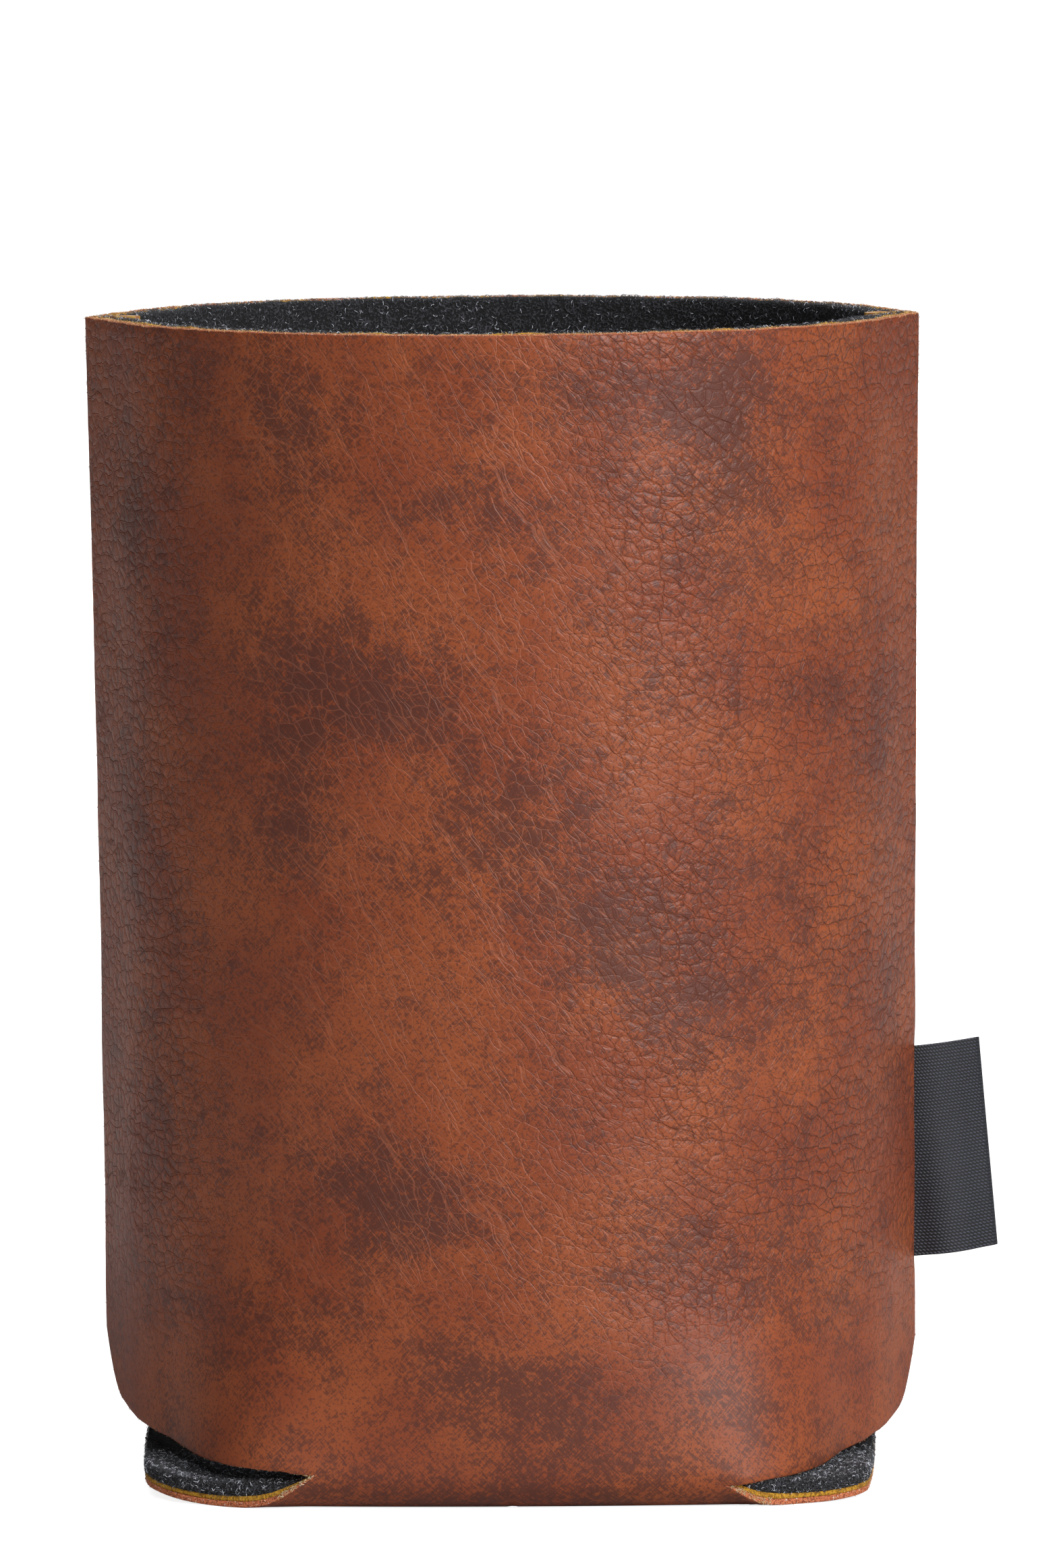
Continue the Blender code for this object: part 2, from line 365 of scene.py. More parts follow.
tag_width = 0.0194
tag_reach = 0.0067
tag_centre_height = 0.0277
tag_tilt = math.radians(5.0)
tag_sweep_back = 0.0026
ribbon_thickness = 0.00025
ribbon_loop_radius = 0.0002
tag_half_thickness = ribbon_loop_radius + ribbon_thickness / 2
tag_half_height = tag_width / 2 / math.cos(tag_tilt)
seam_lead = 0.002
print("wall radius", wall_radius, "rim", round(rim_height, 4))

# %% Fold maths


def smooth(value):
    """0 below 0, 1 above 1, and an even S between them."""
    value = min(1.0, max(0.0, value))
    return value * value * (3 - 2 * value)


def mix(a, b, share):
    return a + (b - a) * share


def seam_angle(height, right_side):
    """Angle at which the flats leave the round wall, at this height."""
    share = max(0.0, height / rim_height)
    at_mouth = standoff_mouth_right if right_side else standoff_mouth_left
    standoff = mix(seam_standoff_base, at_mouth, share * share)
    return math.acos(wall_radius / (wall_radius + standoff))


def seam_half_gap(height, right_side):
    """Half the gap between the front and back edges, which the tag widens."""
    if not right_side:
        return seam_gap / 2
    past_tag = abs(height - tag_centre_height) - tag_half_height
    return mix(tag_half_thickness, seam_gap / 2, smooth(past_tag / seam_lead))


def wall_outline(share, height, depth):
    """A point of the wall seen from above: share is 0 mid-front, 1 at the right seam."""
    angle = seam_angle(height, share > 0)
    half_gap = seam_half_gap(height, share > 0)
    unit_length = math.pi / 2 - angle + math.tan(angle)
    from_seam = (1 - abs(share)) * wall_radius * unit_length
    radius = wall_radius - depth * mix(seam_press, 1.0, smooth(from_seam / seam_press_width))
    along = abs(share) * (radius * unit_length - half_gap / math.cos(angle))
    arc = radius * (math.pi / 2 - angle)
    if along <= arc:
        x = radius * math.sin(along / radius)
        y = -radius * math.cos(along / radius)
    else:
        x = radius * math.cos(angle) + (along - arc) * math.sin(angle)
        y = -radius * math.sin(angle) + (along - arc) * math.cos(angle)
    return math.copysign(x, share), y


def blank_half_width():
    angle = seam_angle(0, True)
    return wall_radius * (math.pi / 2 - angle + math.tan(angle))


def slit(x):
    """Distance from mid-floor to the slits. The right-hand ones are lower."""
    return fold_end - slit_drop_right * (x > 0)


def hinge_end(x):
    """Half width of the fold on this side, from mid-front to the end of its slit."""
    return hinge_right if x > 0 else hinge_left


def released(x):
    """How far the foot has come free of the fold here: 0 at the hinge, 1 where it lies flat."""
    width = release_right if x > 0 else release_left
    share = min(1.0, max(0.0, (abs(x) - hinge_end(x)) / width))
    slope = release_start_slope
    return slope * share + (3 - 2 * slope) * share**2 + (slope - 2) * share**3


def curled(x, along):
    """How far the outer corner of a foot lifts off the floor here."""
    full = curl_right if x > 0 else curl_left
    outward = max(0.0, abs(x) - curl_start) / (foot_half_width - curl_start)
    return full * outward**2 * smooth((along - curl_along_start) / curl_along_width)


def bowed(distance, x):
    """The fold isn't quite straight: it comes in a little towards its ends."""
    return distance * (1 - hinge_bow / wall_radius * (x / flare_half_width) ** 2)


def bulged(x, y):
    """The floor's sides swell a little between the feet."""
    share = min(1.0, abs(y) / (wall_radius - foot_setback))
    return x * (1 + floor_side_bulge / foot_half_width * (1 - share**2))


def bend(along, depth):
    """Distance from mid-floor and height of a point in the fold or the floor before it."""
    turn = max(0.0, along - fold_start) / fold_radius
    reach = min(along, fold_start) + (fold_radius - depth) * math.sin(turn)
    return reach, fold_radius - (fold_radius - depth) * math.cos(turn)


def wall_place(x, along, depth):
    """Where a wall point goes: the round wall, flared out to meet the straight fold."""
    height = along - floor_level
    wall_x, wall_y = wall_outline(x / blank_half_width(), height, depth)
    near_fold = (1 - min(1.0, max(0.0, (along - fold_end) / flare_height))) ** 2
    pull = near_fold * (1 - smooth((abs(x) - flare_half_width) / flare_reach))
    reach = mix(-wall_y, bowed(wall_radius - depth, x), pull)
    if along < fold_end:
        release = smooth((abs(x) - hinge_end(x)) / notch_lead)
        bent_reach, bent_height = bend(along, depth)
        reach = mix(bowed(bent_reach, x), reach, release)
        height = mix(bent_height, height, release)
    return mix(wall_x, x, pull), reach, height


def floor_place(x, along, depth):
    """Where a floor point goes: bent up at the fold, flat and pressed in the feet."""
    release = released(x)
    bent_reach, bent_height = bend(along, depth)
    reach = mix(bowed(bent_reach, x), along, release)
    in_foot = smooth((along - foot_press_start) / foot_press_width)
    flat_height = depth * mix(1.0, foot_press, in_foot) + curled(x, along)
    return bulged(x, along), reach, mix(bent_height, flat_height, release)


def fold(x, y, depth):
    """Where this point of the flat blank stands when the sleeve is folded."""
    place = wall_place if abs(y) > slit(x) else floor_place
    placed_x, reach, height = place(x, abs(y), depth)
    return Vector((placed_x, math.copysign(reach, y), height))


print("mid-front of the rim:", tuple(round(v, 4) for v in fold(0, -floor_level - rim_height, 0)))

# %% [markdown]
# ## The outline of the blank
# The blank has one strip that becomes the floor and, beyond the fold at either end of it,
# one wall. Slits part the corners of the strip from the walls, which is what lets four
# feet lie flat. The outline could be drawn as a curve and filled, but then its faces
# would be long slivers. Here both the strip and the walls are grids whose columns end on
# the outline, so the faces stay even and bend smoothly.

# %% Outline of the blank
fold_rows = 8
low_band = 0.012
extra_low_rows = 3
merge_distance = 1e-6


def foot_corner(x):
    return foot_corner_right if x > 0 else foot_corner_left


def foot_edge(x):
    """Distance from mid-floor to the end of the floor strip at this column."""
    edge = mix(slit(x), wall_radius - foot_setback, released(x))
    radius = foot_corner(x)
    into_corner = abs(x) - (foot_half_width - radius)
    if into_corner > 0:
        into_corner = min(into_corner, radius)
        edge -= radius - math.sqrt(radius**2 - into_corner**2)
    return edge


def wall_edge(x):
    """Distance from mid-floor to the wall's lower edge, which rises to the seam."""
    past_hinge = max(0.0, abs(x) - flare_half_width)
    side_width = blank_half_width() - flare_half_width
    opening = notch_opening * smooth((abs(x) - hinge_end(x)) / notch_lead)
    rise = edge_rise * (past_hinge / side_width) ** edge_rise_power
    into_foot = max(0.0, past_hinge - side_width + seam_foot_reach) / seam_foot_reach
    return slit(x) + opening + rise + seam_foot_height * into_foot**2


def evenly(start, end, cell):
    """The ends of equal steps of about one cell from start to end, without start."""
    steps = max(1, round(abs(end - start) / cell))
    return [mix(start, end, step / steps) for step in range(1, steps + 1)]


def both_sides(half):
    """The values that half(side) gives for each side, in order, with 0 between them."""
    return [-value for value in reversed(half(-1))] + [0.0] + half(1)


def strip_columns(cell):
    """Columns of the floor strip: the hinge, the feet, and their round corners."""

    def half(side):
        radius = foot_corner(side)
        corner_start = foot_half_width - radius
        turns = evenly(0.0, math.pi / 2, cell / radius)
        return (
            evenly(0.0, hinge_end(side), cell)
            + evenly(hinge_end(side), corner_start, cell)
            + [corner_start + radius * math.sin(turn) for turn in turns]
        )

    return both_sides(half)


def wall_columns(cell):
    """Columns of a wall, which meet the strip's columns along the hinge."""

    def half(side):
        hinge = hinge_end(side)
        return evenly(0.0, hinge, cell) + evenly(hinge, blank_half_width(), cell)

    return both_sides(half)


def strip_rows(x, cell):
    """Rows of one column of the floor strip, closer together where they will bend."""
    edge = foot_edge(x)
    middle_steps = round(fold_start / cell)
    inner = edge - fold_radius * math.pi / 2
    halves = evenly(0.0, inner, inner / middle_steps)
    halves += evenly(inner, edge, (edge - inner) / fold_rows)
    return both_sides(lambda side: halves)


def wall_rows(x, cell):
    """Rows of one wall column from its lower edge to the rim: as many in each column."""
    edge = wall_edge(x)
    blend_top = fold_end + low_band
    low_steps = round(low_band / cell) + extra_low_rows
    rim = floor_level + rim_height
    rows = [edge] + evenly(edge, blend_top, (blend_top - edge) / low_steps)
    return rows + evenly(blend_top, rim, cell)


def add_patch(bm, columns, rows_of):
    """One grid of faces, with a column of points at each x and rows_of(x) for their y."""
    grid = [[bm.verts.new((x, y, 0)) for y in rows_of(x)] for x in columns]
    for left, right in zip(grid, grid[1:]):
        for row in range(len(left) - 1):
            bm.faces.new((left[row], right[row], right[row + 1], left[row + 1]))


def flat_blank(cell):
    """The die-cut blank, flat, as one open surface divided into cells of this size."""
    bm = bmesh.new()
    add_patch(bm, strip_columns(cell), lambda x: strip_rows(x, cell))
    add_patch(bm, wall_columns(cell), lambda x: wall_rows(x, cell))
    add_patch(bm, wall_columns(cell), lambda x: [-y for y in reversed(wall_rows(x, cell))])
    bmesh.ops.remove_doubles(bm, verts=bm.verts, dist=merge_distance)
    return bm


blank = flat_blank(0.004)
blank_area = sum(face.calc_area() for face in blank.faces)
blank_size = (2 * blank_half_width(), 2 * (floor_level + rim_height))
blank.free()
print("blank", [round(v, 4) for v in blank_size], "area", round(blank_area, 5))

# %% [markdown]
# ## Plies
# Each ply is the blank given its thickness while it is still flat, with its cut edges
# rounded a little, and then folded. Before a point moves, its flat place is written to
# the attribute `blank`. The finishes read that attribute, so a grain or a print runs
# round the fold and up the wall as it does on sheet goods, with no stretch.
# Hand work shows in what isn't exact: the walls ripple by a tenth of a millimetre, and
# each ply is cut a hair longer or shorter than the next.

# %% Ply maker
ripple_size = 0.011
ripple_depth = 0.00016
ripple_fade = 0.012
ragged_fine = 0.0007
ragged_coarse = 0.003
rounding_share = 0.22
sharp_angle = math.radians(60)


def ripple(x, y):
    """How far the wall stands out here, which is nothing at the floor and the fold."""
    above_fold = smooth((abs(y) - fold_end) / ripple_fade)
    return ripple_depth * above_fold * noise.noise(Vector((x, y, 0)) / ripple_size)


def raggedness(x, y, seed):
    """A shift of a cut edge, about -1 to 1, as fine fraying on a slower wander."""
    place = Vector((x, y, seed))
    return noise.noise(place / ragged_fine) + noise.noise(place / ragged_coarse)


def fray(bm, ragged, seed):
    """Moves each point of the cut edge in or out, in line with its inner neighbours."""
    for vert in [vert for vert in bm.verts if vert.is_boundary]:
        x, y, _ = vert.co
        outward = Vector((0, 0, 0))
        for edge in vert.link_edges:
            if not edge.is_boundary:
                outward += (vert.co - edge.other_vert(vert).co).normalized()
        if outward.length > 0:
            vert.co += outward.normalized() * ragged * raggedness(x, y, seed)


def round_rims(bm, radius):
    """Rounds the two edges that run round the blank, between its flat and cut faces."""
    side_faces = {face for face in bm.faces if abs(face.normal.z) < 0.5}
    rims = [
        edge
        for edge in bm.edges
        if len({face in side_faces for face in edge.link_faces}) == 2
    ]
    bmesh.ops.bevel(bm, geom=rims, offset=radius, segments=2, affect="EDGES", profile=0.5)


def make_ply(name, top_depth, bottom_depth, cell, ragged, seed):
    """One ply between two depths, folded. ragged is how far its cut edge wanders."""
    bm = flat_blank(cell)
    fray(bm, ragged, seed)
    thickness = bottom_depth - top_depth
    bmesh.ops.solidify(bm, geom=bm.faces[:], thickness=thickness)
    round_rims(bm, thickness * rounding_share)
    flat_layer = bm.verts.layers.float_vector.new("blank")
    for face in bm.faces:
        face.material_index = 1 if abs(face.normal.z) < 0.8 else 0
        face.smooth = True
    for vert in bm.verts:
        x, y, z = vert.co
        vert[flat_layer] = vert.co
        vert.co = fold(x, y, top_depth + abs(z) - ripple(x, y))
    bmesh.ops.recalc_face_normals(bm, faces=bm.faces)
    return add_piece(name, bm)


def add_piece(name, bm):
    """Makes an object of a finished bmesh and puts it in the scene."""
    mesh = bpy.data.meshes.new(name)
    bm.to_mesh(mesh)
    bm.free()
    mesh.set_sharp_from_angle(angle=sharp_angle)
    piece = bpy.data.objects.new(name, mesh)
    bpy.context.scene.collection.objects.link(piece)
    print(name, sum(len(p.vertices) - 2 for p in mesh.polygons), "triangles")
    return piece


cover_depths = (0.0, 0.00075)
core_depths = (0.0007, 0.0013)
lining_depths = (0.0012, 0.0028)
cover = make_ply("leather_cover", *cover_depths, cell=0.0010, ragged=0.00006, seed=1)
core = make_ply("yellow_core", *core_depths, cell=0.0012, ragged=0.00016, seed=2)
lining = make_ply("charcoal_lining", *lining_depths, cell=0.0012, ragged=0.00010, seed=3)

# %% [markdown]
# ## Print on the leatherette
# The face isn't one brown. A darker, bluish print lies over an orange ground: large soft
# clouds that somebody dabbed on the roller, broken up into specks and a fine crossed
# hatch. A texture node could make clouds too, but not these clouds. So the clouds are
# listed one by one, as soft ovals on the flat blank, and are written to each point of the
# mesh. Their edges, the specks and the hatch are finer than the mesh, so nodes add them.
# The back wasn't seen, and gets clouds from noise alone.

# %% Clouds of the print
mm = 0.001
front_clouds = [
    # across from mid-front, height, half width, half height (mm), strength
    (-30, 102, 5, 2.5, 0.6),
    (-19.5, 96, 3.5, 5.5, 0.65),
    (-2, 90.5, 2.6, 2.0, 0.75),
    (3, 88, 3.0, 2.0, 0.6),
    (8, 101, 4.5, 3.0, 0.6),
    (15, 97.5, 6.0, 4.0, 0.8),
    (21.5, 101, 4.0, 4.0, 0.7),
    (24, 92.5, 3.6, 6.0, 0.85),
    (19, 84, 3.5, 4.5, 0.5),
    (-43, 86, 5.5, 7.0, 0.7),
    (-18.5, 74.5, 5.5, 3.4, 1.1),
    (-11, 71.5, 6.0, 3.0, 1.0),
    (-11, 78, 3.2, 1.5, 0.6),
    (33, 72.5, 3.5, 2.8, 0.65),
    (45, 66, 4.5, 5.5, 0.75),
    (-20, 60, 3.4, 3.0, 0.95),
    (-20.5, 66.5, 4.5, 2.5, 0.45),
    (-43, 62, 4.5, 8.0, 0.5),
    (-4, 66.5, 3.5, 2.6, 0.7),
    (1.5, 60.5, 4.2, 3.2, 1.0),
    (6.5, 54, 4.2, 3.6, 1.05),
    (13, 50, 4.5, 3.2, 0.8),
    (19.5, 46.5, 5.0, 3.0, 1.05),
    (29, 57, 6.0, 4.0, 0.5),
    (47, 44.5, 4.5, 5.5, 0.75),
    (31, 47, 5.0, 3.0, 0.4),
    (-41, 44, 4.5, 8.0, 0.5),
    (-15, 31, 4.0, 2.2, 0.6),
    (-10.5, 28.6, 5.0, 2.4, 1.05),
    (-7, 25, 3.2, 2.0, 0.8),
    (17, 23.5, 4.5, 3.4, 0.75),
    (22, 20.5, 3.5, 3.0, 0.55),
    (-39, 26, 5.0, 7.0, 0.5),
    (33, 17.5, 5.5, 3.0, 0.5),
    (-23, 15, 6.0, 3.0, 0.45),
    (-3.5, 12, 4.4, 3.0, 0.9),
    (4.5, 8.5, 5.5, 3.0, 1.0),
    (25, 8, 6.0, 3.0, 0.45),
    (0, 0.5, 22, 2.6, 0.55),
]
cloud_softness = 1.35
cloud_strength = 0.80
cloud_wander = 2.6 * mm
print_everywhere = 0.16
blotch_shares = {8 * mm: 0.42, 3.0 * mm: 0.34}
back_cloud_size = 13 * mm
back_cloud_strength = 0.9


def cloud_noise(x, y, size):
    return noise.noise(Vector((x, y, 0)) / size)


def clouded(x, y):
    """How dark the print is at this point of the blank, from about -0.3 to 1.2."""
    total = print_everywhere
    for size, share in blotch_shares.items():
        total += share * cloud_noise(x, y, size)
    if y > 0:
        back_cloud = smooth(2.2 * cloud_noise(x, y, back_cloud_size) + 0.2)
        return total + back_cloud_strength * back_cloud
    wander_x = x + cloud_wander * cloud_noise(x, y, 4.5 * mm)
    wander_y = y + cloud_wander * cloud_noise(y, x, 4.0 * mm)
    height = -wander_y - floor_level
    for across, up, half_width, half_height, strength in front_clouds:
        right = (wander_x / mm - across) / (cloud_softness * half_width)
        above = (height / mm - up) / (cloud_softness * half_height)
        total += cloud_strength * strength * math.exp(-(right**2) - above**2)
    return total


def write_to_points(piece, name, value_of):
    """Stores value_of(x, y) of each point's flat place on the mesh under this name."""
    flat = piece.data.attributes["blank"].data
    values = [value_of(point.vector.x, point.vector.y) for point in flat]
    piece.data.attributes.new(name, "FLOAT", "POINT").data.foreach_set("value", values)
    print(name, "from", round(min(values), 2), "to", round(max(values), 2))


write_to_points(cover, "clouds", clouded)

# %% [markdown]
# ## Patterns and materials
# Every finish below is built from the same few patterns: soft noise, noise drawn out
# along a line, and random cells. Each gets a short helper that takes a place and a size
# in metres, so a material reads as a list of what can be seen on the real surface. They
# could be node groups too, but plain functions keep the whole recipe in one place.

# %% Pattern helpers


def pattern_noise(place, size, detail=2.0, output="Fac", rough=0.5):
    """Soft random blotches, about size across, in the units of place."""
    sockets = {"Vector": place, "Scale": 1 / size, "Detail": detail, "Roughness": rough}
    return add_node(place.tree, "ShaderNodeTexNoise", sockets=sockets, output=output)


def laid(place, length, width, angle):
    """Turns and stretches place, so that a unit of pattern is length by width there."""
    sockets = {
        "Vector": place,
        "Rotation": (0, 0, math.radians(angle)),
        "Scale": (length, width, 1),
    }
    return add_node(place.tree, "ShaderNodeMapping", {"vector_type": "TEXTURE"}, sockets)


def split(place, axis):
    """One coordinate of a place: X, Y or Z."""
    return add_node(place.tree, "ShaderNodeSeparateXYZ", sockets={0: place}, output=axis)


def joined(x, y):
    return add_node(x.tree, "ShaderNodeCombineXYZ", sockets={"X": x, "Y": y})


def shifted(place, size, reach):
    """Moves place by up to about reach, with noise of this size, so that edges wander."""
    push = pattern_noise(place, size, detail=1.0, output="Color")
    to_middle = {0: push, 1: (2 * reach,) * 3, 2: (-reach,) * 3}
    centred = vector_maths(place.tree, "MULTIPLY_ADD", to_middle)
    return vector_maths(place.tree, "ADD", {0: place, 1: centred})


def cells(place, size):
    """Distance to the nearest border between random cells, as a share of their size."""
    settings = {"feature": "DISTANCE_TO_EDGE", "voronoi_dimensions": "2D"}
    sockets = {"Vector": place, "Scale": 1 / size, "Randomness": 0.9}
    return add_node(place.tree, "ShaderNodeTexVoronoi", settings, sockets, "Distance")


def attribute(tree, name, output="Fac"):
    return add_node(tree, "ShaderNodeAttribute", {"attribute_name": name}, output=output)


def new_material(name):
    """A material with an empty node tree."""
    material = bpy.data.materials.new(name)
    material.use_nodes = True
    material.node_tree.nodes.clear()
    return material


def finish_material(material, sockets, relief=None):
    """Ends a material in a Principled shader. relief is a height in millimetres."""
    tree = material.node_tree
    if relief is not None:
        sockets["Normal"] = add_node(
            tree, "ShaderNodeBump", sockets={"Height": relief, "Distance": mm}
        )
    shader = add_node(tree, "ShaderNodeBsdfPrincipled", sockets=sockets)
    add_node(tree, "ShaderNodeOutputMaterial", sockets={"Surface": shader})
    print(material.name, len(tree.nodes), "nodes")
    return material


# %% [markdown]
# ## Grain of the leatherette
# The grain is pressed into the face by a hot roller. It has two parts. Small pebbles,
# one to two millimetres across, lie between fine creases. Longer creases run over them:
# they fall steeply to the right from the middle of the sleeve and turn up again at the
# right. Cells of a Voronoi texture give the pebbles, and thin bands of a stretched noise
# give the creases, where one coordinate is bent so that they follow that sweep.
# Bump is enough here, because the deepest crease is under a tenth of a millimetre.
# The heights in this cell are in millimetres.

# %% Leather relief
pebble_size = 1.25 * mm
fine_pebble_size = 0.80 * mm
pebble_stretch = 1.3
pebble_sweep = 0.22
crease_length = 9.0 * mm
crease_spacing = 3.0 * mm
crease_turn_place = 17 * mm
crease_turn_width = 12 * mm
crease_tilt = 0.6
crease_level_from = -20 * mm
crease_level_blend = 12 * mm
pebble_dome = 0.040
pebble_crease_depth = 0.050
fine_crease_depth = 0.018
long_crease_depth = 0.026
long_crease_extra = 0.018
second_crease_depth = 0.016
terrace_height = 0.010
swell_height = 0.026
grain_height = 0.018


def bent_along_creases(place, share):
    """x as it is, and a height that stays equal along a crease, or partly so."""
    x = split(place, "X")
    held = x.maths("SMOOTH_MAX", x, crease_level_from, crease_level_blend)
    away = (held - crease_turn_place) / crease_turn_width
    arm = (away * away + 1.0).maths("SQRT", away * away + 1.0)
    rise = crease_turn_width * (arm - 1.0) - crease_tilt * (held - crease_turn_place)
    return joined(x, abs(split(place, "Y")) - share * rise)


def leather_zones(place):
    """Shares from 0 to 1 over the face, which say where each part of the grain is strong."""
    x = split(place, "X")
    to_right = x.step(-6 * mm, 12 * mm)
    to_sides = abs(x).step(24 * mm, 38 * mm)
    above_fold = abs(split(place, "Y")).step(floor_level + 8 * mm, floor_level + 26 * mm)
    patchy = pattern_noise(place, 10 * mm).step(0.34, 0.60)
    return to_right, to_sides, above_fold, patchy


def pebble_patterns(place):
    """The domes of the pebbles, the creases between them, and a finer net of creases."""
    wandering = shifted(place, 1.5 * mm, 0.40 * mm)
    swept = bent_along_creases(wandering, pebble_sweep)
    pebble = cells(laid(swept, pebble_stretch, 1.0, 0), pebble_size)
    fine_pebble = cells(wandering, fine_pebble_size)
    return pebble.step(0.0, 0.40), pebble.step(0.062, 0.0), fine_pebble.step(0.12, 0.0)


def crease_patterns(place):
    """The long creases, the small step in height across them, and a second, closer set."""
    swept = bent_along_creases(shifted(place, 3.0 * mm, 0.8 * mm), 1.0)
    stretched = laid(swept, crease_length / crease_spacing, 1.0, 0)
    band = pattern_noise(stretched, crease_spacing, detail=1.5) - 0.5
    second_band = pattern_noise(stretched, crease_spacing * 0.55, detail=0.5) - 0.54
    second_crease = abs(second_band).step(0.018, 0.0)
    return abs(band).step(0.014, 0.0), band.step(-0.012, 0.012), second_crease


def leather_relief(place):
    """Height of the face in millimetres, and how much of it is crease line."""
    to_right, to_sides, above_fold, patchy = leather_zones(place)
    dome, pebble_crease, fine_crease = pebble_patterns(place)
    long_crease, terrace, second_crease = crease_patterns(place)
    pebbled = (0.45 + 0.55 * patchy) * (0.35 + 0.65 * to_right) + 0.70 * to_sides
    pebbled = pebbled * (0.20 + 0.80 * above_fold)
    height = (
        pebbled * (pebble_dome * dome - pebble_crease_depth * pebble_crease)
        - fine_crease_depth * pebbled * fine_crease
        - above_fold * (long_crease_depth + long_crease_extra * to_right) * long_crease
        + terrace_height * above_fold * (1.0 - to_sides) * terrace
        - second_crease_depth * above_fold * second_crease
        + swell_height * pattern_noise(place, 1.3 * mm, detail=1.0)
        + grain_height * pattern_noise(place, 0.20 * mm, detail=2.0)
    )
    net = (0.10 + 0.90 * patchy) * pebble_crease
    crease = (0.15 + 0.85 * above_fold) * (net + 0.8 * long_crease + 0.3 * second_crease)
    return height, crease.maths("MINIMUM", crease, 1.0)


# %% [markdown]
# ## The leatherette itself
# The ground is a warm orange brown. The print takes away most of its red and some of its
# green, which leaves a purplish brown. It skips the creases, because a printing roller
# touches only the tops of the pebbles, so the creases stay a little brighter.
# In the middle left, where light falls straight on them, a painted highlight makes them pale lines;
# on the turned-away sides, painted shade with some print makes them dark.
# The face has a dull polish: one broad highlight, softer where the grain is deep.

# %% Leather material
leather_ground = colour(160, 82, 44)
leather_ground_deep = colour(143, 68, 37)
leather_print = colour(84, 46, 38)
# painted highlight for the creases of the middle left
crease_painted_highlight = colour(196, 122, 90)
# painted shade, with some print, for the creases away from the middle left
crease_shade_and_print = colour(62, 32, 24)
speck_size = 0.46 * mm
speck_group_size = 2.1 * mm
pepper_size = 0.30 * mm
pepper_strength = 0.66
hatch_length = 1.1 * mm
hatch_width = 0.13 * mm
hatch_strength = 0.26
print_threshold = 0.560
cloud_pull = 0.15
crease_skip = 0.35
# share of the painted highlight in the creases
crease_highlight_share = 0.17
# share of the painted shade, with some print, in the creases
crease_shade_and_print_share = 0.36
leather_gloss = 0.38
smooth_roughness = 0.39
crease_roughness = 0.16
low_roughness = 0.16


def leather_print_share(place, crease):
    """How much of the dark print covers the ground here, from 0 to 1."""
    clouds = attribute(place.tree, "clouds")
    specks = 0.68 * pattern_noise(place, speck_size, detail=4.0, rough=0.72)
    specks += 0.32 * pattern_noise(place, speck_group_size, detail=2.0)
    hatch = pattern_noise(laid(place, hatch_length, hatch_width, 45), 1.0, detail=0.0)
    hatch += pattern_noise(laid(place, hatch_length, hatch_width, -45), 1.0, detail=0.0)
    threshold = print_threshold - cloud_pull * clouds
    share = (specks + hatch_strength * (hatch - 1.0) - threshold).step(-0.06, 0.09)
    share = share * (0.74 + 0.10 * clouds) * (1.0 - crease_skip * crease)
    pepper = pattern_noise(place, pepper_size, detail=2.0, rough=0.6).step(0.54, 0.64)
    return share.maths("MAXIMUM", share, pepper_strength * pepper)


def leather_finish():
    material = new_material("leather_face")
    place = attribute(material.node_tree, "blank", "Vector")
    relief, crease = leather_relief(place)
    printed = leather_print_share(place, crease)
    drift = pattern_noise(place, 14 * mm, detail=3.0).step(0.35, 0.65)
    ground = mix_colours(drift, leather_ground_deep, leather_ground)
    tint = mix_colours(printed, ground, leather_print)
    # painted highlight: the creases of the middle left turn paler
    highlight_zone = abs(split(place, "X") + 9 * mm).step(28 * mm, 12 * mm)
    tint = mix_colours(crease_highlight_share * crease * highlight_zone, tint, crease_painted_highlight)
    # painted shade with some print: the other creases turn darker
    tint = mix_colours(crease_shade_and_print_share * crease * (1.0 - highlight_zone), tint, crease_shade_and_print)
    low = abs(split(place, "Y")).step(floor_level + 22 * mm, floor_level + 6 * mm)
    roughness = smooth_roughness + crease_roughness * crease + low_roughness * low
    roughness += 0.14 * (pattern_noise(place, 0.5 * mm) - 0.5)
    sockets = {"Base Color": tint, "Roughness": roughness, "Specular IOR Level": leather_gloss}
    return finish_material(material, sockets, relief)


leather = leather_finish()

# %% [markdown]
# ## Cut edges
# Where the blade went through, each ply shows its inside. The leatherette is a porous
# orange-brown layer with pale backing threads in it. The foam is dull olive yellow and
# looks fibrous, because its cells are torn. These finishes read the same flat place as
# the face does, but in three dimensions, so they don't smear over the thickness.

# %% Cut edge finishes
cut_brown = colour(216, 126, 84)
cut_brown_pore = colour(134, 66, 40)
cut_thread = colour(232, 218, 206)
foam_yellow = colour(212, 158, 48)
foam_shadow = colour(136, 92, 20)


def cut_leather_finish():
    material = new_material("leather_cut")
    place = attribute(material.node_tree, "blank", "Vector")
    pores = pattern_noise(place, 0.16 * mm, detail=2.0)
    threads = pattern_noise(place, 0.30 * mm, detail=1.0).step(0.64, 0.74)
    tint = mix_colours(pores.step(0.36, 0.56), cut_brown_pore, cut_brown)
    tint = mix_colours(0.75 * threads, tint, cut_thread)
    return finish_material(material, {"Base Color": tint, "Roughness": 0.85}, 0.09 * pores)


def foam_finish():
    material = new_material("foam_yellow")
    place = attribute(material.node_tree, "blank", "Vector")
    strands = pattern_noise(laid(place, 0.8, 0.12, 0), 1.0 * mm, detail=2.0)
    torn = pattern_noise(place, 0.22 * mm, detail=3.0)
    tint = mix_colours((0.5 * strands + 0.5 * torn).step(0.38, 0.60), foam_shadow, foam_yellow)
    return finish_material(material, {"Base Color": tint, "Roughness": 0.95}, 0.12 * torn)


cut_leather = cut_leather_finish()
foam = foam_finish()

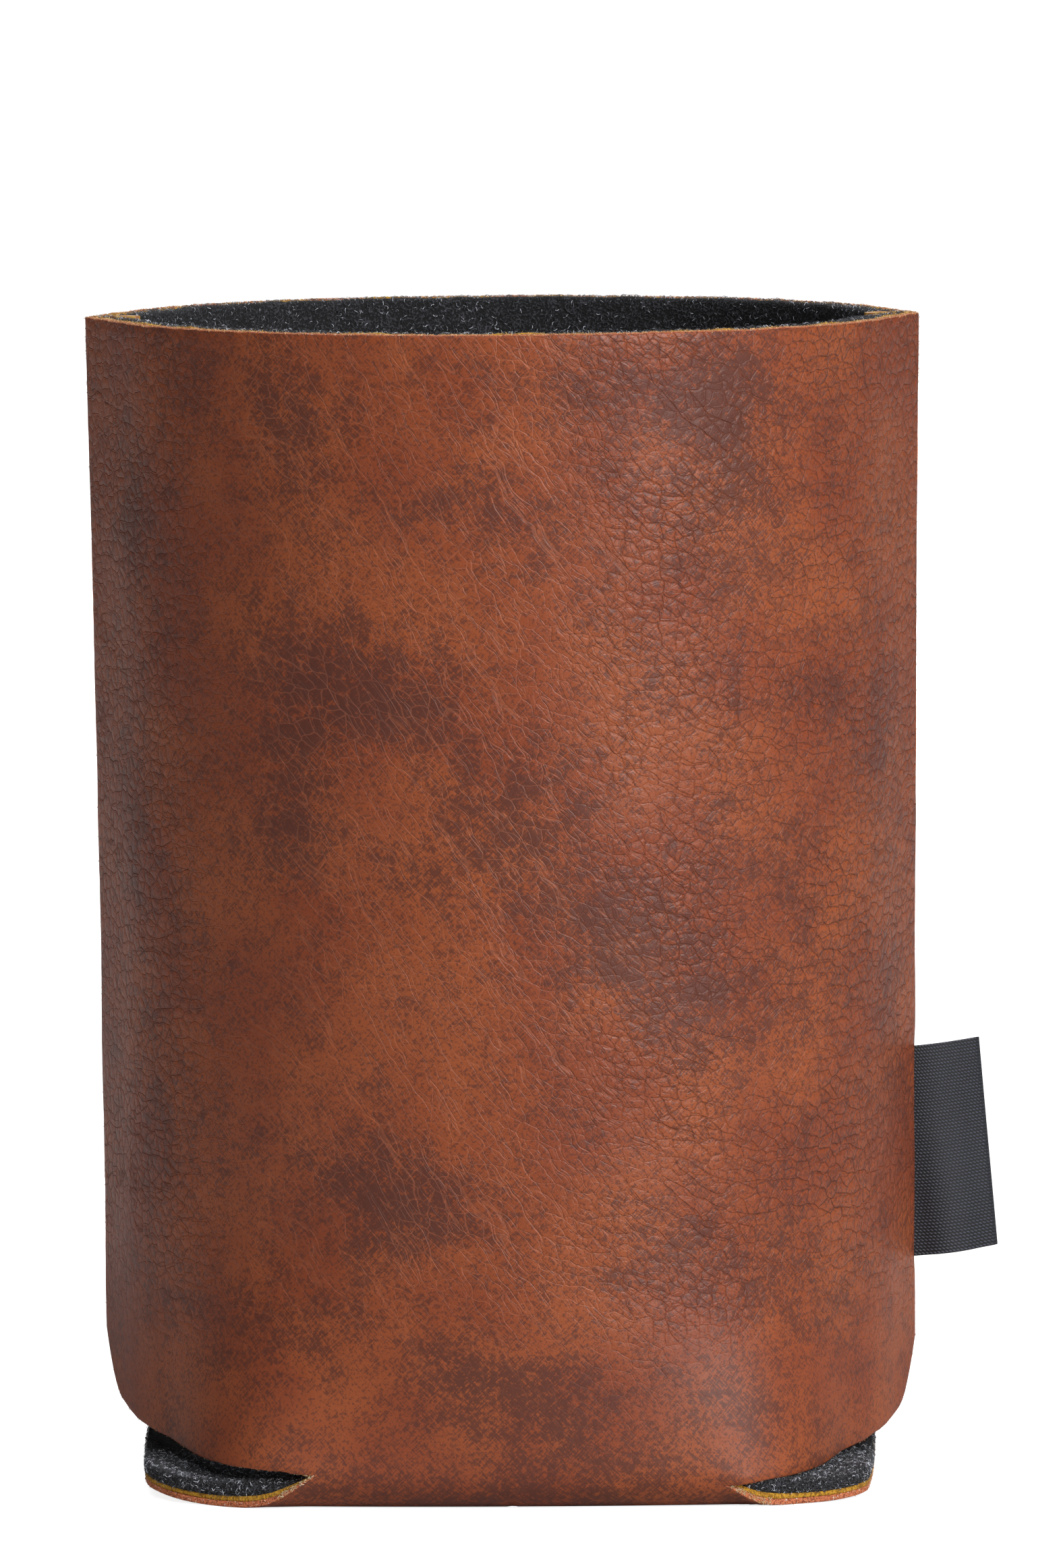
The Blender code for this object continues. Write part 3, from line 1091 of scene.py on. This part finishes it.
# %% [markdown]
# ## Fleece
# The lining is a thin charcoal fleece, brushed so that loose fibres stand up in curls.
# The ply itself gets a rough, speckled ground. Most of the look comes from real fibres
# on top, which the next cells grow.

# %% Fleece ground
fleece_light_share = 0.30
fleece_dark = colour(26, 26, 28)
fleece_light = colour(120, 120, 130)


def fleece_finish():
    material = new_material("fleece_ground")
    place = attribute(material.node_tree, "blank", "Vector")
    nap = pattern_noise(place, 0.22 * mm, detail=3.0)
    clumps = pattern_noise(place, 1.1 * mm, detail=2.0)
    light = (0.8 * nap + 0.2 * clumps).step(0.50, 0.64)
    tint = mix_colours(fleece_light_share * light, fleece_dark, fleece_light)
    relief = 0.20 * nap + 0.16 * clumps
    return finish_material(material, {"Base Color": tint, "Roughness": 1.0}, relief)


fleece = fleece_finish()

# %% [markdown]
# ## Giving the plies their finishes
# Each ply has two finishes: the first for its flat faces and the second for its cut ones.
# Foam and fleece look the same on both.

# %% Finished plies
cover.data.materials.append(leather)
cover.data.materials.append(cut_leather)
for ply, finish in ((core, foam), (lining, fleece)):
    ply.data.materials.append(finish)
    ply.data.materials.append(finish)
for ply, node, slot in (
    (cover, "outer_cover", "leatherette"),
    (core, "foam_core", "foam"),
    (lining, "fleece_lining", "fleece"),
):
    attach(ply, "root")
    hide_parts(node)

# %% [markdown]
# ## Growing things on a surface
# Fibres, fuzz and threads repeat thousands of times, so Geometry Nodes place them.
# A tree is written once, with named inputs for its sizes. `grow` gives it a bed of faces
# and values for those inputs, takes the finished mesh and throws the modifier away,
# which leaves a plain mesh that any program can read.

# %% Geometry node helpers
socket_kinds = {
    float: "NodeSocketFloat",
    int: "NodeSocketInt",
    bpy.types.Material: "NodeSocketMaterial",
}


def start_tree(name, inputs):
    """A geometry tree with these named inputs, and a Wire for each of them."""
    tree = bpy.data.node_groups.new(name, "GeometryNodeTree")
    face = tree.interface
    face.new_socket("Geometry", in_out="INPUT", socket_type="NodeSocketGeometry")
    for socket_name, kind in inputs.items():
        face.new_socket(socket_name, in_out="INPUT", socket_type=socket_kinds[kind])
    face.new_socket("Geometry", in_out="OUTPUT", socket_type="NodeSocketGeometry")
    group_input = tree.nodes.new("NodeGroupInput")
    wires = {output.name: Wire(tree, output) for output in group_input.outputs if output.name}
    return tree, wires


def end_tree(tree, geometry, material):
    """Ends a tree in one real mesh with its finish."""
    made = add_node(tree, "GeometryNodeRealizeInstances", sockets={"Geometry": geometry})
    sockets = {"Geometry": made, "Material": material}
    finished = add_node(tree, "GeometryNodeSetMaterial", sockets=sockets)
    add_node(tree, "NodeGroupOutput", sockets={"Geometry": finished})


def made_by_tree(name, bed, tree, values):
    """Runs a tree on a bed mesh, with these values for its inputs, and returns its mesh."""
    grower = bpy.data.objects.new(name + "_bed", bed)
    bpy.context.scene.collection.objects.link(grower)
    modifier = grower.modifiers.new("tree", "NODES")
    modifier.node_group = tree
    for item in tree.interface.items_tree:
        if item.in_out == "INPUT" and item.name in values:
            modifier[item.identifier] = values[item.name]
    graph = bpy.context.evaluated_depsgraph_get()
    mesh = bpy.data.meshes.new_from_object(grower.evaluated_get(graph), depsgraph=graph)
    mesh.name = name
    bpy.data.objects.remove(grower)
    return mesh


def grow(name, bed, tree, values):
    """Makes a plain piece of what a tree grows on a bed."""
    mesh = made_by_tree(name, bed, tree, values)
    piece = bpy.data.objects.new(name, mesh)
    bpy.context.scene.collection.objects.link(piece)
    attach(piece, "root")
    print(name, sum(len(p.vertices) - 2 for p in mesh.polygons), "triangles")
    return piece


def bed_from(ply, wanted):
    """The faces of a ply that pass wanted(flat place, is cut edge), as a mesh of their own."""
    bm = bmesh.new()
    bm.from_mesh(ply.data)
    flat_layer = bm.verts.layers.float_vector["blank"]
    rest = [
        face
        for face in bm.faces
        if not wanted(
            sum((vert[flat_layer] for vert in face.verts), Vector()) / len(face.verts),
            face.material_index == 1,
        )
    ]
    bmesh.ops.delete(bm, geom=rest, context="FACES")
    bed = bpy.data.meshes.new("bed")
    area = sum(face.calc_area() for face in bm.faces)
    bm.to_mesh(bed)
    bm.free()
    print("bed of", round(area * 1e6), "square millimetres")
    return bed


# %% [markdown]
# ## Curled fibres
# One fibre is a small arch: an arc of a circle in three steps, swept with a three-sided
# profile, so that it costs twenty triangles. The tree scatters points over a bed, stands
# an arch on each, and leans, turns and sizes it at random from a fixed seed. Each fibre
# also gets a random shade. Pale ones among the dark ones give fleece its pepper-and-salt
# look.

# %% Fibre tree
fibre_bend = math.radians(215)
fibre_lean = math.radians(50)
fibre_smallest, fibre_largest = 0.45, 1.35


def random_number(tree, low, high, seed):
    """A number between low and high, which differs from point to point."""
    sockets = {2: low, 3: high, 8: seed}
    return add_node(tree, "FunctionNodeRandomValue", {"data_type": "FLOAT"}, sockets, output=1)


def fibre_tree():
    inputs = {
        "per square metre": float,
        "curl radius": float,
        "thickness": float,
        "points": int,
        "seed": int,
        "finish": bpy.types.Material,
    }
    tree, wires = start_tree("curled_fibres", inputs)
    arc_sockets = {
        "Resolution": wires["points"],
        "Radius": wires["curl radius"],
        "Start Angle": (math.pi - fibre_bend) / 2,
        "Sweep Angle": fibre_bend,
    }
    arc = add_node(tree, "GeometryNodeCurveArc", {"mode": "RADIUS"}, arc_sockets)
    round_sockets = {"Resolution": 3, "Radius": wires["thickness"] / 2}
    section = add_node(tree, "GeometryNodeCurvePrimitiveCircle", sockets=round_sockets)
    sweep_sockets = {"Curve": arc, "Profile Curve": section, "Fill Caps": True}
    arch = add_node(tree, "GeometryNodeCurveToMesh", sockets=sweep_sockets)
    upright_sockets = {"Geometry": arch, "Rotation": (math.pi / 2, 0, 0)}
    upright = add_node(tree, "GeometryNodeTransform", sockets=upright_sockets)

    scatter_sockets = {
        "Mesh": wires["Geometry"],
        "Density": wires["per square metre"],
        "Seed": wires["seed"],
    }
    scatter = add_node(tree, "GeometryNodeDistributePointsOnFaces", sockets=scatter_sockets)
    facing = Wire(tree, scatter.socket.node.outputs["Rotation"])
    shade_sockets = {
        "Geometry": scatter,
        "Name": "shade",
        "Value": random_number(tree, 0.0, 1.0, wires["seed"] + 1.0),
    }
    shaded = add_node(tree, "GeometryNodeStoreNamedAttribute", sockets=shade_sockets)
    lean_sockets = {
        0: (-fibre_lean, -fibre_lean, 0.0),
        1: (fibre_lean, fibre_lean, 2 * math.pi),
        8: wires["seed"] + 2.0,
    }
    vector_kind = {"data_type": "FLOAT_VECTOR"}
    lean = add_node(tree, "FunctionNodeRandomValue", vector_kind, lean_sockets)
    turn = add_node(tree, "FunctionNodeEulerToRotation", sockets={"Euler": lean})
    turn_sockets = {"Rotation": facing, "Rotate By": turn}
    turned = add_node(tree, "FunctionNodeRotateRotation", {"rotation_space": "LOCAL"}, turn_sockets)
    instance_sockets = {
        "Points": shaded,
        "Instance": upright,
        "Rotation": turned,
        "Scale": random_number(tree, fibre_smallest, fibre_largest, wires["seed"] + 3.0),
    }
    fibres = add_node(tree, "GeometryNodeInstanceOnPoints", sockets=instance_sockets)
    end_tree(tree, fibres, wires["finish"])
    return tree


fibre_maker = fibre_tree()
print("fibre tree:", len(fibre_maker.nodes), "nodes")

# %% [markdown]
# ## Colours of the fibres
# Fleece fibres are nearly black or nearly white. Fibres torn from the foam and from the
# backing of the leatherette are tan to cream. One recipe serves them all: it reads the
# shade that the tree gave to each fibre, and noise lets a pale fibre show its pale colour
# over a part of its length only, as a painted glint where it catches the light.

# %% Fibre finishes


def fibre_finish(name, dark, light, pale_from):
    """Most fibres are near the dark colour, and those with a high shade are pale."""
    material = new_material(name)
    tree = material.node_tree
    shade = attribute(tree, "shade")
    pale = shade.step(pale_from, pale_from + 0.6 * (1 - pale_from))
    place = add_node(tree, "ShaderNodeTexCoord", output="Object")
    # painted glint: a pale fibre shows its pale colour only in flecks along its length
    glint_fleck = pattern_noise(place, 0.30 * mm, detail=1.0).step(0.36, 0.52)
    tint = mix_colours(0.08 + 0.90 * pale * glint_fleck, dark, light)
    return finish_material(material, {"Base Color": tint, "Roughness": 0.8})


fleece_fibre = fibre_finish("fleece_fibre", colour(20, 20, 23), colour(240, 244, 255), 0.72)
foam_fibre = fibre_finish("foam_fibre", colour(176, 126, 38), colour(244, 216, 130), 0.25)
tan_fibre = fibre_finish("tan_fibre", colour(196, 128, 84), colour(240, 214, 180), 0.35)
rim_fibre = fibre_finish("rim_fibre", colour(190, 124, 80), colour(240, 200, 150), 0.20)
slit_fibre = fibre_finish("slit_fibre", colour(206, 164, 92), colour(250, 236, 206), 0.25)

# %% [markdown]
# ## Where fibres grow
# The four feet show their fleece side, so they get the most fibres, and the two in front
# more than those behind. The walls inside get a close band along the rim, a thinner one
# below it as far as light reaches, and a sparse cover further down. The weld beads need
# clear ground. The cut edges of all three plies are frayed all round, and the leatherette
# has extra fuzz along the rim and at the ends of the slits, where it was torn open.
# A bed is the set of faces that fibres stand on. Each is picked by a small function of a
# face's flat place and of whether the face is a cut one.

# %% Fibre beds
lining_face = -0.8 * (lining_depths[1] - lining_depths[0])
foot_bed_start = 0.014
rim_band = floor_level + rim_height - 0.0065
mouth_band = floor_level + rim_height - 0.030
bead_clearing = 0.0042
slit_fuzz_before = 0.3 * mm
slit_fuzz_reach = 3.5 * mm
slit_fuzz_rise = 0.1 * mm


def in_foot_bed(flat, is_cut):
    on_strip = foot_bed_start < abs(flat.y) < slit(flat.x)
    return on_strip and released(flat.x) > 0.02 and (is_cut or flat.z < lining_face)


def one_foot(side, front):
    """The bed of one foot. side is 1 on the right, front is 1 for a foot at the front."""

    def in_bed(flat, is_cut):
        return in_foot_bed(flat, is_cut) and flat.x * side > 0 and flat.y * front < 0

    return in_bed


def on_inner_face(flat, is_cut):
    return not is_cut and flat.z < lining_face


def beside_bead(flat):
    return abs(flat.x) > blank_half_width() - bead_clearing


def in_rim_bed(flat, is_cut):
    at_height = abs(flat.y) > rim_band
    return on_inner_face(flat, is_cut) and at_height and not beside_bead(flat)


def in_mouth_bed(flat, is_cut):
    at_height = mouth_band < abs(flat.y) <= rim_band
    return on_inner_face(flat, is_cut) and at_height and not beside_bead(flat)


def in_deep_bed(flat, is_cut):
    at_depth = abs(flat.y) <= mouth_band
    return on_inner_face(flat, is_cut) and at_depth and not in_foot_bed(flat, is_cut)


def in_cut_bed(flat, is_cut):
    return is_cut and not in_foot_bed(flat, is_cut)


def on_any_cut(flat, is_cut):
    return is_cut


def at_rim(flat, is_cut):
    return is_cut and abs(flat.y) > rim_band


def at_slit_end(flat, is_cut):
    past_hinge = abs(flat.x) - hinge_end(flat.x)
    in_reach = -slit_fuzz_before < past_hinge < slit_fuzz_reach
    return is_cut and in_reach and abs(flat.y) < slit(flat.x) + slit_fuzz_rise


# %% Fibres
square_mm = 1e-6
fibre_thickness = 0.040 * mm
fibre_points = 4
fibre_beds = (
    # name, ply, wanted faces, fibres per square millimetre, curl radius, finish, slot
    ("front_left_foot_fibres", lining, one_foot(-1, 1), 28.0, 0.15 * mm, fleece_fibre, "fleece"),
    ("front_right_foot_fibres", lining, one_foot(1, 1), 28.0, 0.15 * mm, fleece_fibre, "fleece"),
    ("back_left_foot_fibres", lining, one_foot(-1, -1), 22.0, 0.15 * mm, fleece_fibre, "fleece"),
    ("back_right_foot_fibres", lining, one_foot(1, -1), 22.0, 0.15 * mm, fleece_fibre, "fleece"),
    ("rim_fibres", lining, in_rim_bed, 6.0, 0.18 * mm, fleece_fibre, "fleece"),
    ("mouth_fibres", lining, in_mouth_bed, 1.6, 0.26 * mm, fleece_fibre, "fleece"),
    ("deep_fibres", lining, in_deep_bed, 0.5, 0.34 * mm, fleece_fibre, "fleece"),
    ("lining_edge_fibres", lining, in_cut_bed, 9.0, 0.20 * mm, fleece_fibre, "fleece"),
    ("foam_edge_fibres", core, on_any_cut, 18.0, 0.13 * mm, foam_fibre, "foam"),
    ("cover_edge_fibres", cover, on_any_cut, 6.0, 0.08 * mm, tan_fibre, "leatherette"),
    ("cover_rim_fuzz", cover, at_rim, 26.0, 0.10 * mm, rim_fibre, "leatherette"),
    ("slit_end_fuzz", cover, at_slit_end, 46.0, 0.13 * mm, slit_fibre, "leatherette"),
)

for number, (name, ply, wanted, count, radius, finish, slot) in enumerate(fibre_beds):
    values = {
        "per square metre": count / square_mm,
        "curl radius": radius,
        "thickness": fibre_thickness,
        "points": fibre_points,
        "seed": 10 * number + 5,
        "finish": finish,
    }
    grow(name, bed_from(ply, wanted), fibre_maker, values)

# %% [markdown]
# ## The woven tag
# The tag is a short piece of stiff charcoal ribbon, folded in half round a small loop.
# Its two ends are caught in the right-hand seam. It is bent out of a flat strip, and the
# strip's own coordinates are kept, so the twill runs along it and round the loop. The
# fold lies outside, and the ends run in between the plies as far as the weld.

# %% Tag strip
tag_leg_rows = 14
tag_loop_rows = 6
tag_cross_rows = 26
tag_curl_depth = 0.00022
tag_curl_waves = 2.6
tag_curl_start = 0.6
tag_belly = 0.00045
tag_belly_reach = 0.8
tag_belly_lean = 0.7
strip_steps = 400


def inner_corner(height, right_side):
    """Distance from the axis to the inner corner of a seam, where the two linings meet."""
    pressed_thickness = laminate_thickness * seam_press
    return (wall_radius - pressed_thickness) / math.cos(seam_angle(height, right_side))


tag_seam_x = wall_radius / math.cos(seam_angle(tag_centre_height, True))
tag_buried = tag_seam_x - inner_corner(tag_centre_height, True) - ply_clearance


def tag_place(along, up, depth):
    """along runs from 0 at one end of the strip to 1 at the other, up across it."""
    offset = depth - ribbon_thickness / 2
    root = (up * math.sin(tag_tilt) - tag_buried) / math.cos(tag_tilt)
    tip = tag_reach - ribbon_loop_radius
    position = (along * 2 - 1) * (tag_leg_rows + tag_loop_rows)
    leg = max(0.0, abs(position) - tag_loop_rows) / tag_leg_rows
    turn = min(abs(position), tag_loop_rows) / tag_loop_rows * math.pi / 2
    radius = ribbon_loop_radius + offset
    out = mix(tip, root, leg) + radius * math.cos(turn)
    back = math.copysign(radius * math.sin(turn), position)
    free = max(0.0, out / tag_reach)
    sweep = tag_sweep_back * free**2
    curl = math.sin(tag_curl_waves * up / tag_width * math.pi + tag_curl_start)
    sweep += tag_curl_depth * free * curl
    belly = math.sin(math.pi * min(1.0, free / tag_belly_reach))
    sweep -= tag_belly * belly * (tag_belly_lean - up / tag_width)
    x = tag_seam_x + out * math.cos(tag_tilt) - up * math.sin(tag_tilt)
    z = tag_centre_height + out * math.sin(tag_tilt) + up * math.cos(tag_tilt)
    return Vector((x, back + sweep, z))


def strip_length():
    """Length of the strip along its middle line, measured in small straight steps."""
    shares = [step / strip_steps for step in range(strip_steps + 1)]
    middle = [tag_place(share, 0.0, ribbon_thickness / 2) for share in shares]
    return sum((after - before).length for before, after in zip(middle, middle[1:]))


tag_length = strip_length()
print("tag strip", round(tag_length, 5), "long")


def make_tag():
    """The strip as a thin slab, each point of it moved to its place in the folded tag."""
    bm = bmesh.new()
    rows = 2 * (tag_leg_rows + tag_loop_rows)
    bmesh.ops.create_grid(bm, x_segments=rows, y_segments=tag_cross_rows, size=0.5)
    bmesh.ops.solidify(bm, geom=bm.faces[:], thickness=1.0)
    strip_layer = bm.verts.layers.float_vector.new("strip")
    for vert in bm.verts:
        along, across, depth = vert.co.x + 0.5, vert.co.y, abs(vert.co.z)
        up = across * tag_width
        vert[strip_layer] = (along * tag_length, up, depth * ribbon_thickness)
        vert.co = tag_place(along, up, depth * ribbon_thickness)
    bmesh.ops.recalc_face_normals(bm, faces=bm.faces)
    for face in bm.faces:
        face.smooth = True
    return add_piece("woven_tag", bm)


# %% [markdown]
# ## Twill
# The ribbon is woven so that its ribs run slantwise. Two waves, one along the slant and
# one across the strip, multiply into a small bump for each crossing of yarns. A little
# wander keeps the rows from looking ruled, and a slow noise stands for worn yarn.

# %% Twill finish
yarn_along = 0.26 * mm
yarn_across = 0.30 * mm
twill_slant = 0.7
yarn_dark = colour(8, 8, 11)
yarn_light = colour(78, 81, 96)


def wave(value, period):
    """A smooth wave from 0 to 1, which repeats every period."""
    turned = value * (2 * math.pi / period)
    return 0.5 + 0.5 * turned.maths("SINE", turned)


def twill_finish():
    material = new_material("charcoal_twill")
    strip = attribute(material.node_tree, "strip", "Vector")
    bent = shifted(strip, 0.9 * mm, 0.02 * mm)
    along, across = split(bent, "X"), split(bent, "Y")
    yarn = wave(along + twill_slant * across, yarn_along) * wave(across, yarn_across)
    worn = pattern_noise(strip, 0.5 * mm, detail=3.0)
    tint = mix_colours(yarn.step(0.08, 0.55) * (0.50 + 0.6 * worn), yarn_dark, yarn_light)
    relief = 0.05 * yarn + 0.02 * worn
    return finish_material(material, {"Base Color": tint, "Roughness": 0.62}, relief)


tag = make_tag()
tag.data.materials.append(twill_finish())
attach(tag, "root")
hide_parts("side_tag")

# %% [markdown]
# ## Weld beads
# Each side seam is pressed and melted shut, and the melt squeezes out along the inside
# as a ridge. It follows the seam from just above the feet to the rim. A curve with a
# swept section fits that, and noise on the points gives it the lumps of cooled melt.
# In each corner of the rim a drop of it has welled up, which the same tree makes from a
# path a fifth of a millimetre long.

# %% Bead tree
bead_depth = 0.0030
bead_thickness = 0.0009
bead_low = fold_radius + notch_opening + edge_rise + seam_foot_height
bead_rise = 0.0001
lump_size = 1.4 * mm


def bead_tree():
    inputs = {
        "depth": float,
        "thickness": float,
        "step": float,
        "lumps": float,
        "finish": bpy.types.Material,
    }
    tree, wires = start_tree("weld_bead", inputs)
    curve = add_node(tree, "GeometryNodeMeshToCurve", sockets={"Mesh": wires["Geometry"]})
    resample_sockets = {"Curve": curve, "Length": wires["step"]}
    path = add_node(tree, "GeometryNodeResampleCurve", {"mode": "LENGTH"}, resample_sockets)
    circle_sockets = {"Resolution": 12, "Radius": 0.5}
    circle = add_node(tree, "GeometryNodeCurvePrimitiveCircle", sockets=circle_sockets)
    size_sockets = {"X": wires["thickness"], "Y": wires["depth"], "Z": 1.0}
    size = add_node(tree, "ShaderNodeCombineXYZ", sockets=size_sockets)
    section_sockets = {"Geometry": circle, "Scale": size}
    section = add_node(tree, "GeometryNodeTransform", sockets=section_sockets)
    sweep_sockets = {"Curve": path, "Profile Curve": section, "Fill Caps": True}
    bead = add_node(tree, "GeometryNodeCurveToMesh", sockets=sweep_sockets)
    place = add_node(tree, "GeometryNodeInputPosition")
    push = pattern_noise(place, lump_size, detail=2.0, output="Color")
    centred = vector_maths(tree, "SUBTRACT", {0: push, 1: (0.5, 0.5, 0.5)})
    offset = vector_maths(tree, "SCALE", {"Vector": centred, "Scale": wires["lumps"]})
    moved_sockets = {"Geometry": bead, "Offset": offset}
    moved = add_node(tree, "GeometryNodeSetPosition", sockets=moved_sockets)
    end_tree(tree, moved, wires["finish"])
    return tree


bead_maker = bead_tree()
print("bead tree:", len(bead_maker.nodes), "nodes")

# %% Weld finish
melted_brown = colour(158, 92, 42)
melted_yellow = colour(206, 158, 72)


def weld_finish():
    """Melted leatherette, orange brown, with yellow foam drawn into it."""
    material = new_material("weld_melt")
    place = add_node(material.node_tree, "ShaderNodeTexCoord", output="Object")
    streaks = pattern_noise(place, 0.7 * mm, detail=3.0)
    tint = mix_colours(streaks.step(0.34, 0.58), melted_brown, melted_yellow)
    roughness = 0.42 + 0.3 * streaks
    return finish_material(material, {"Base Color": tint, "Roughness": roughness}, 0.10 * streaks)


weld = weld_finish()

# %% Beads and drops
bead_path_step = 0.004
drop_depth = 0.0018
drop_thickness = 0.0009
drop_below_rim = 0.05 * mm
drop_above_rim = 0.15 * mm
drop_from_corner = 0.35 * mm


def path_through(name, points):
    """A chain of edges through these points, for the tree to turn into a curve."""
    mesh = bpy.data.meshes.new(name)
    mesh.from_pydata(points, [(n, n + 1) for n in range(len(points) - 1)], [])
    return mesh


def bead_path(side):
    """The line that a bead follows inside its seam. side is 1 on the right, -1 on the left."""
    points = []
    for height in [bead_low] + evenly(bead_low, rim_height + bead_rise, bead_path_step):
        x = inner_corner(height, side > 0) - ply_clearance - bead_depth / 2
        points.append((side * x, 0.0, height))
    return path_through("bead_path", points)


def drop_path(side):
    """A short upright line in the rim's corner, where melt has welled up out of the seam."""
    corner = wall_radius / math.cos(seam_angle(rim_height, side > 0))
    x = side * (corner - drop_from_corner - drop_depth / 2)
    levels = (rim_height - drop_below_rim, rim_height + drop_above_rim)
    return path_through("drop_path", [(x, 0.0, level) for level in levels])


def melt_sizes(depth, thickness, step, lumps):
    """Values for the inputs of the bead tree."""
    return {"depth": depth, "thickness": thickness, "step": step, "lumps": lumps, "finish": weld}


bead_sizes = melt_sizes(bead_depth, bead_thickness, step=0.45 * mm, lumps=0.50 * mm)
drop_sizes = melt_sizes(drop_depth, drop_thickness, step=0.10 * mm, lumps=0.30 * mm)
for side, name in ((-1, "left"), (1, "right")):
    bead = grow(f"{name}_weld_bead", bead_path(side), bead_maker, bead_sizes)
    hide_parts(f"{name}_seam_bead")
    grow(f"{name}_glue_drop", drop_path(side), bead_maker, drop_sizes)

# %% [markdown]
# ## Finish

# %% Finish
bpy.context.view_layer.update()
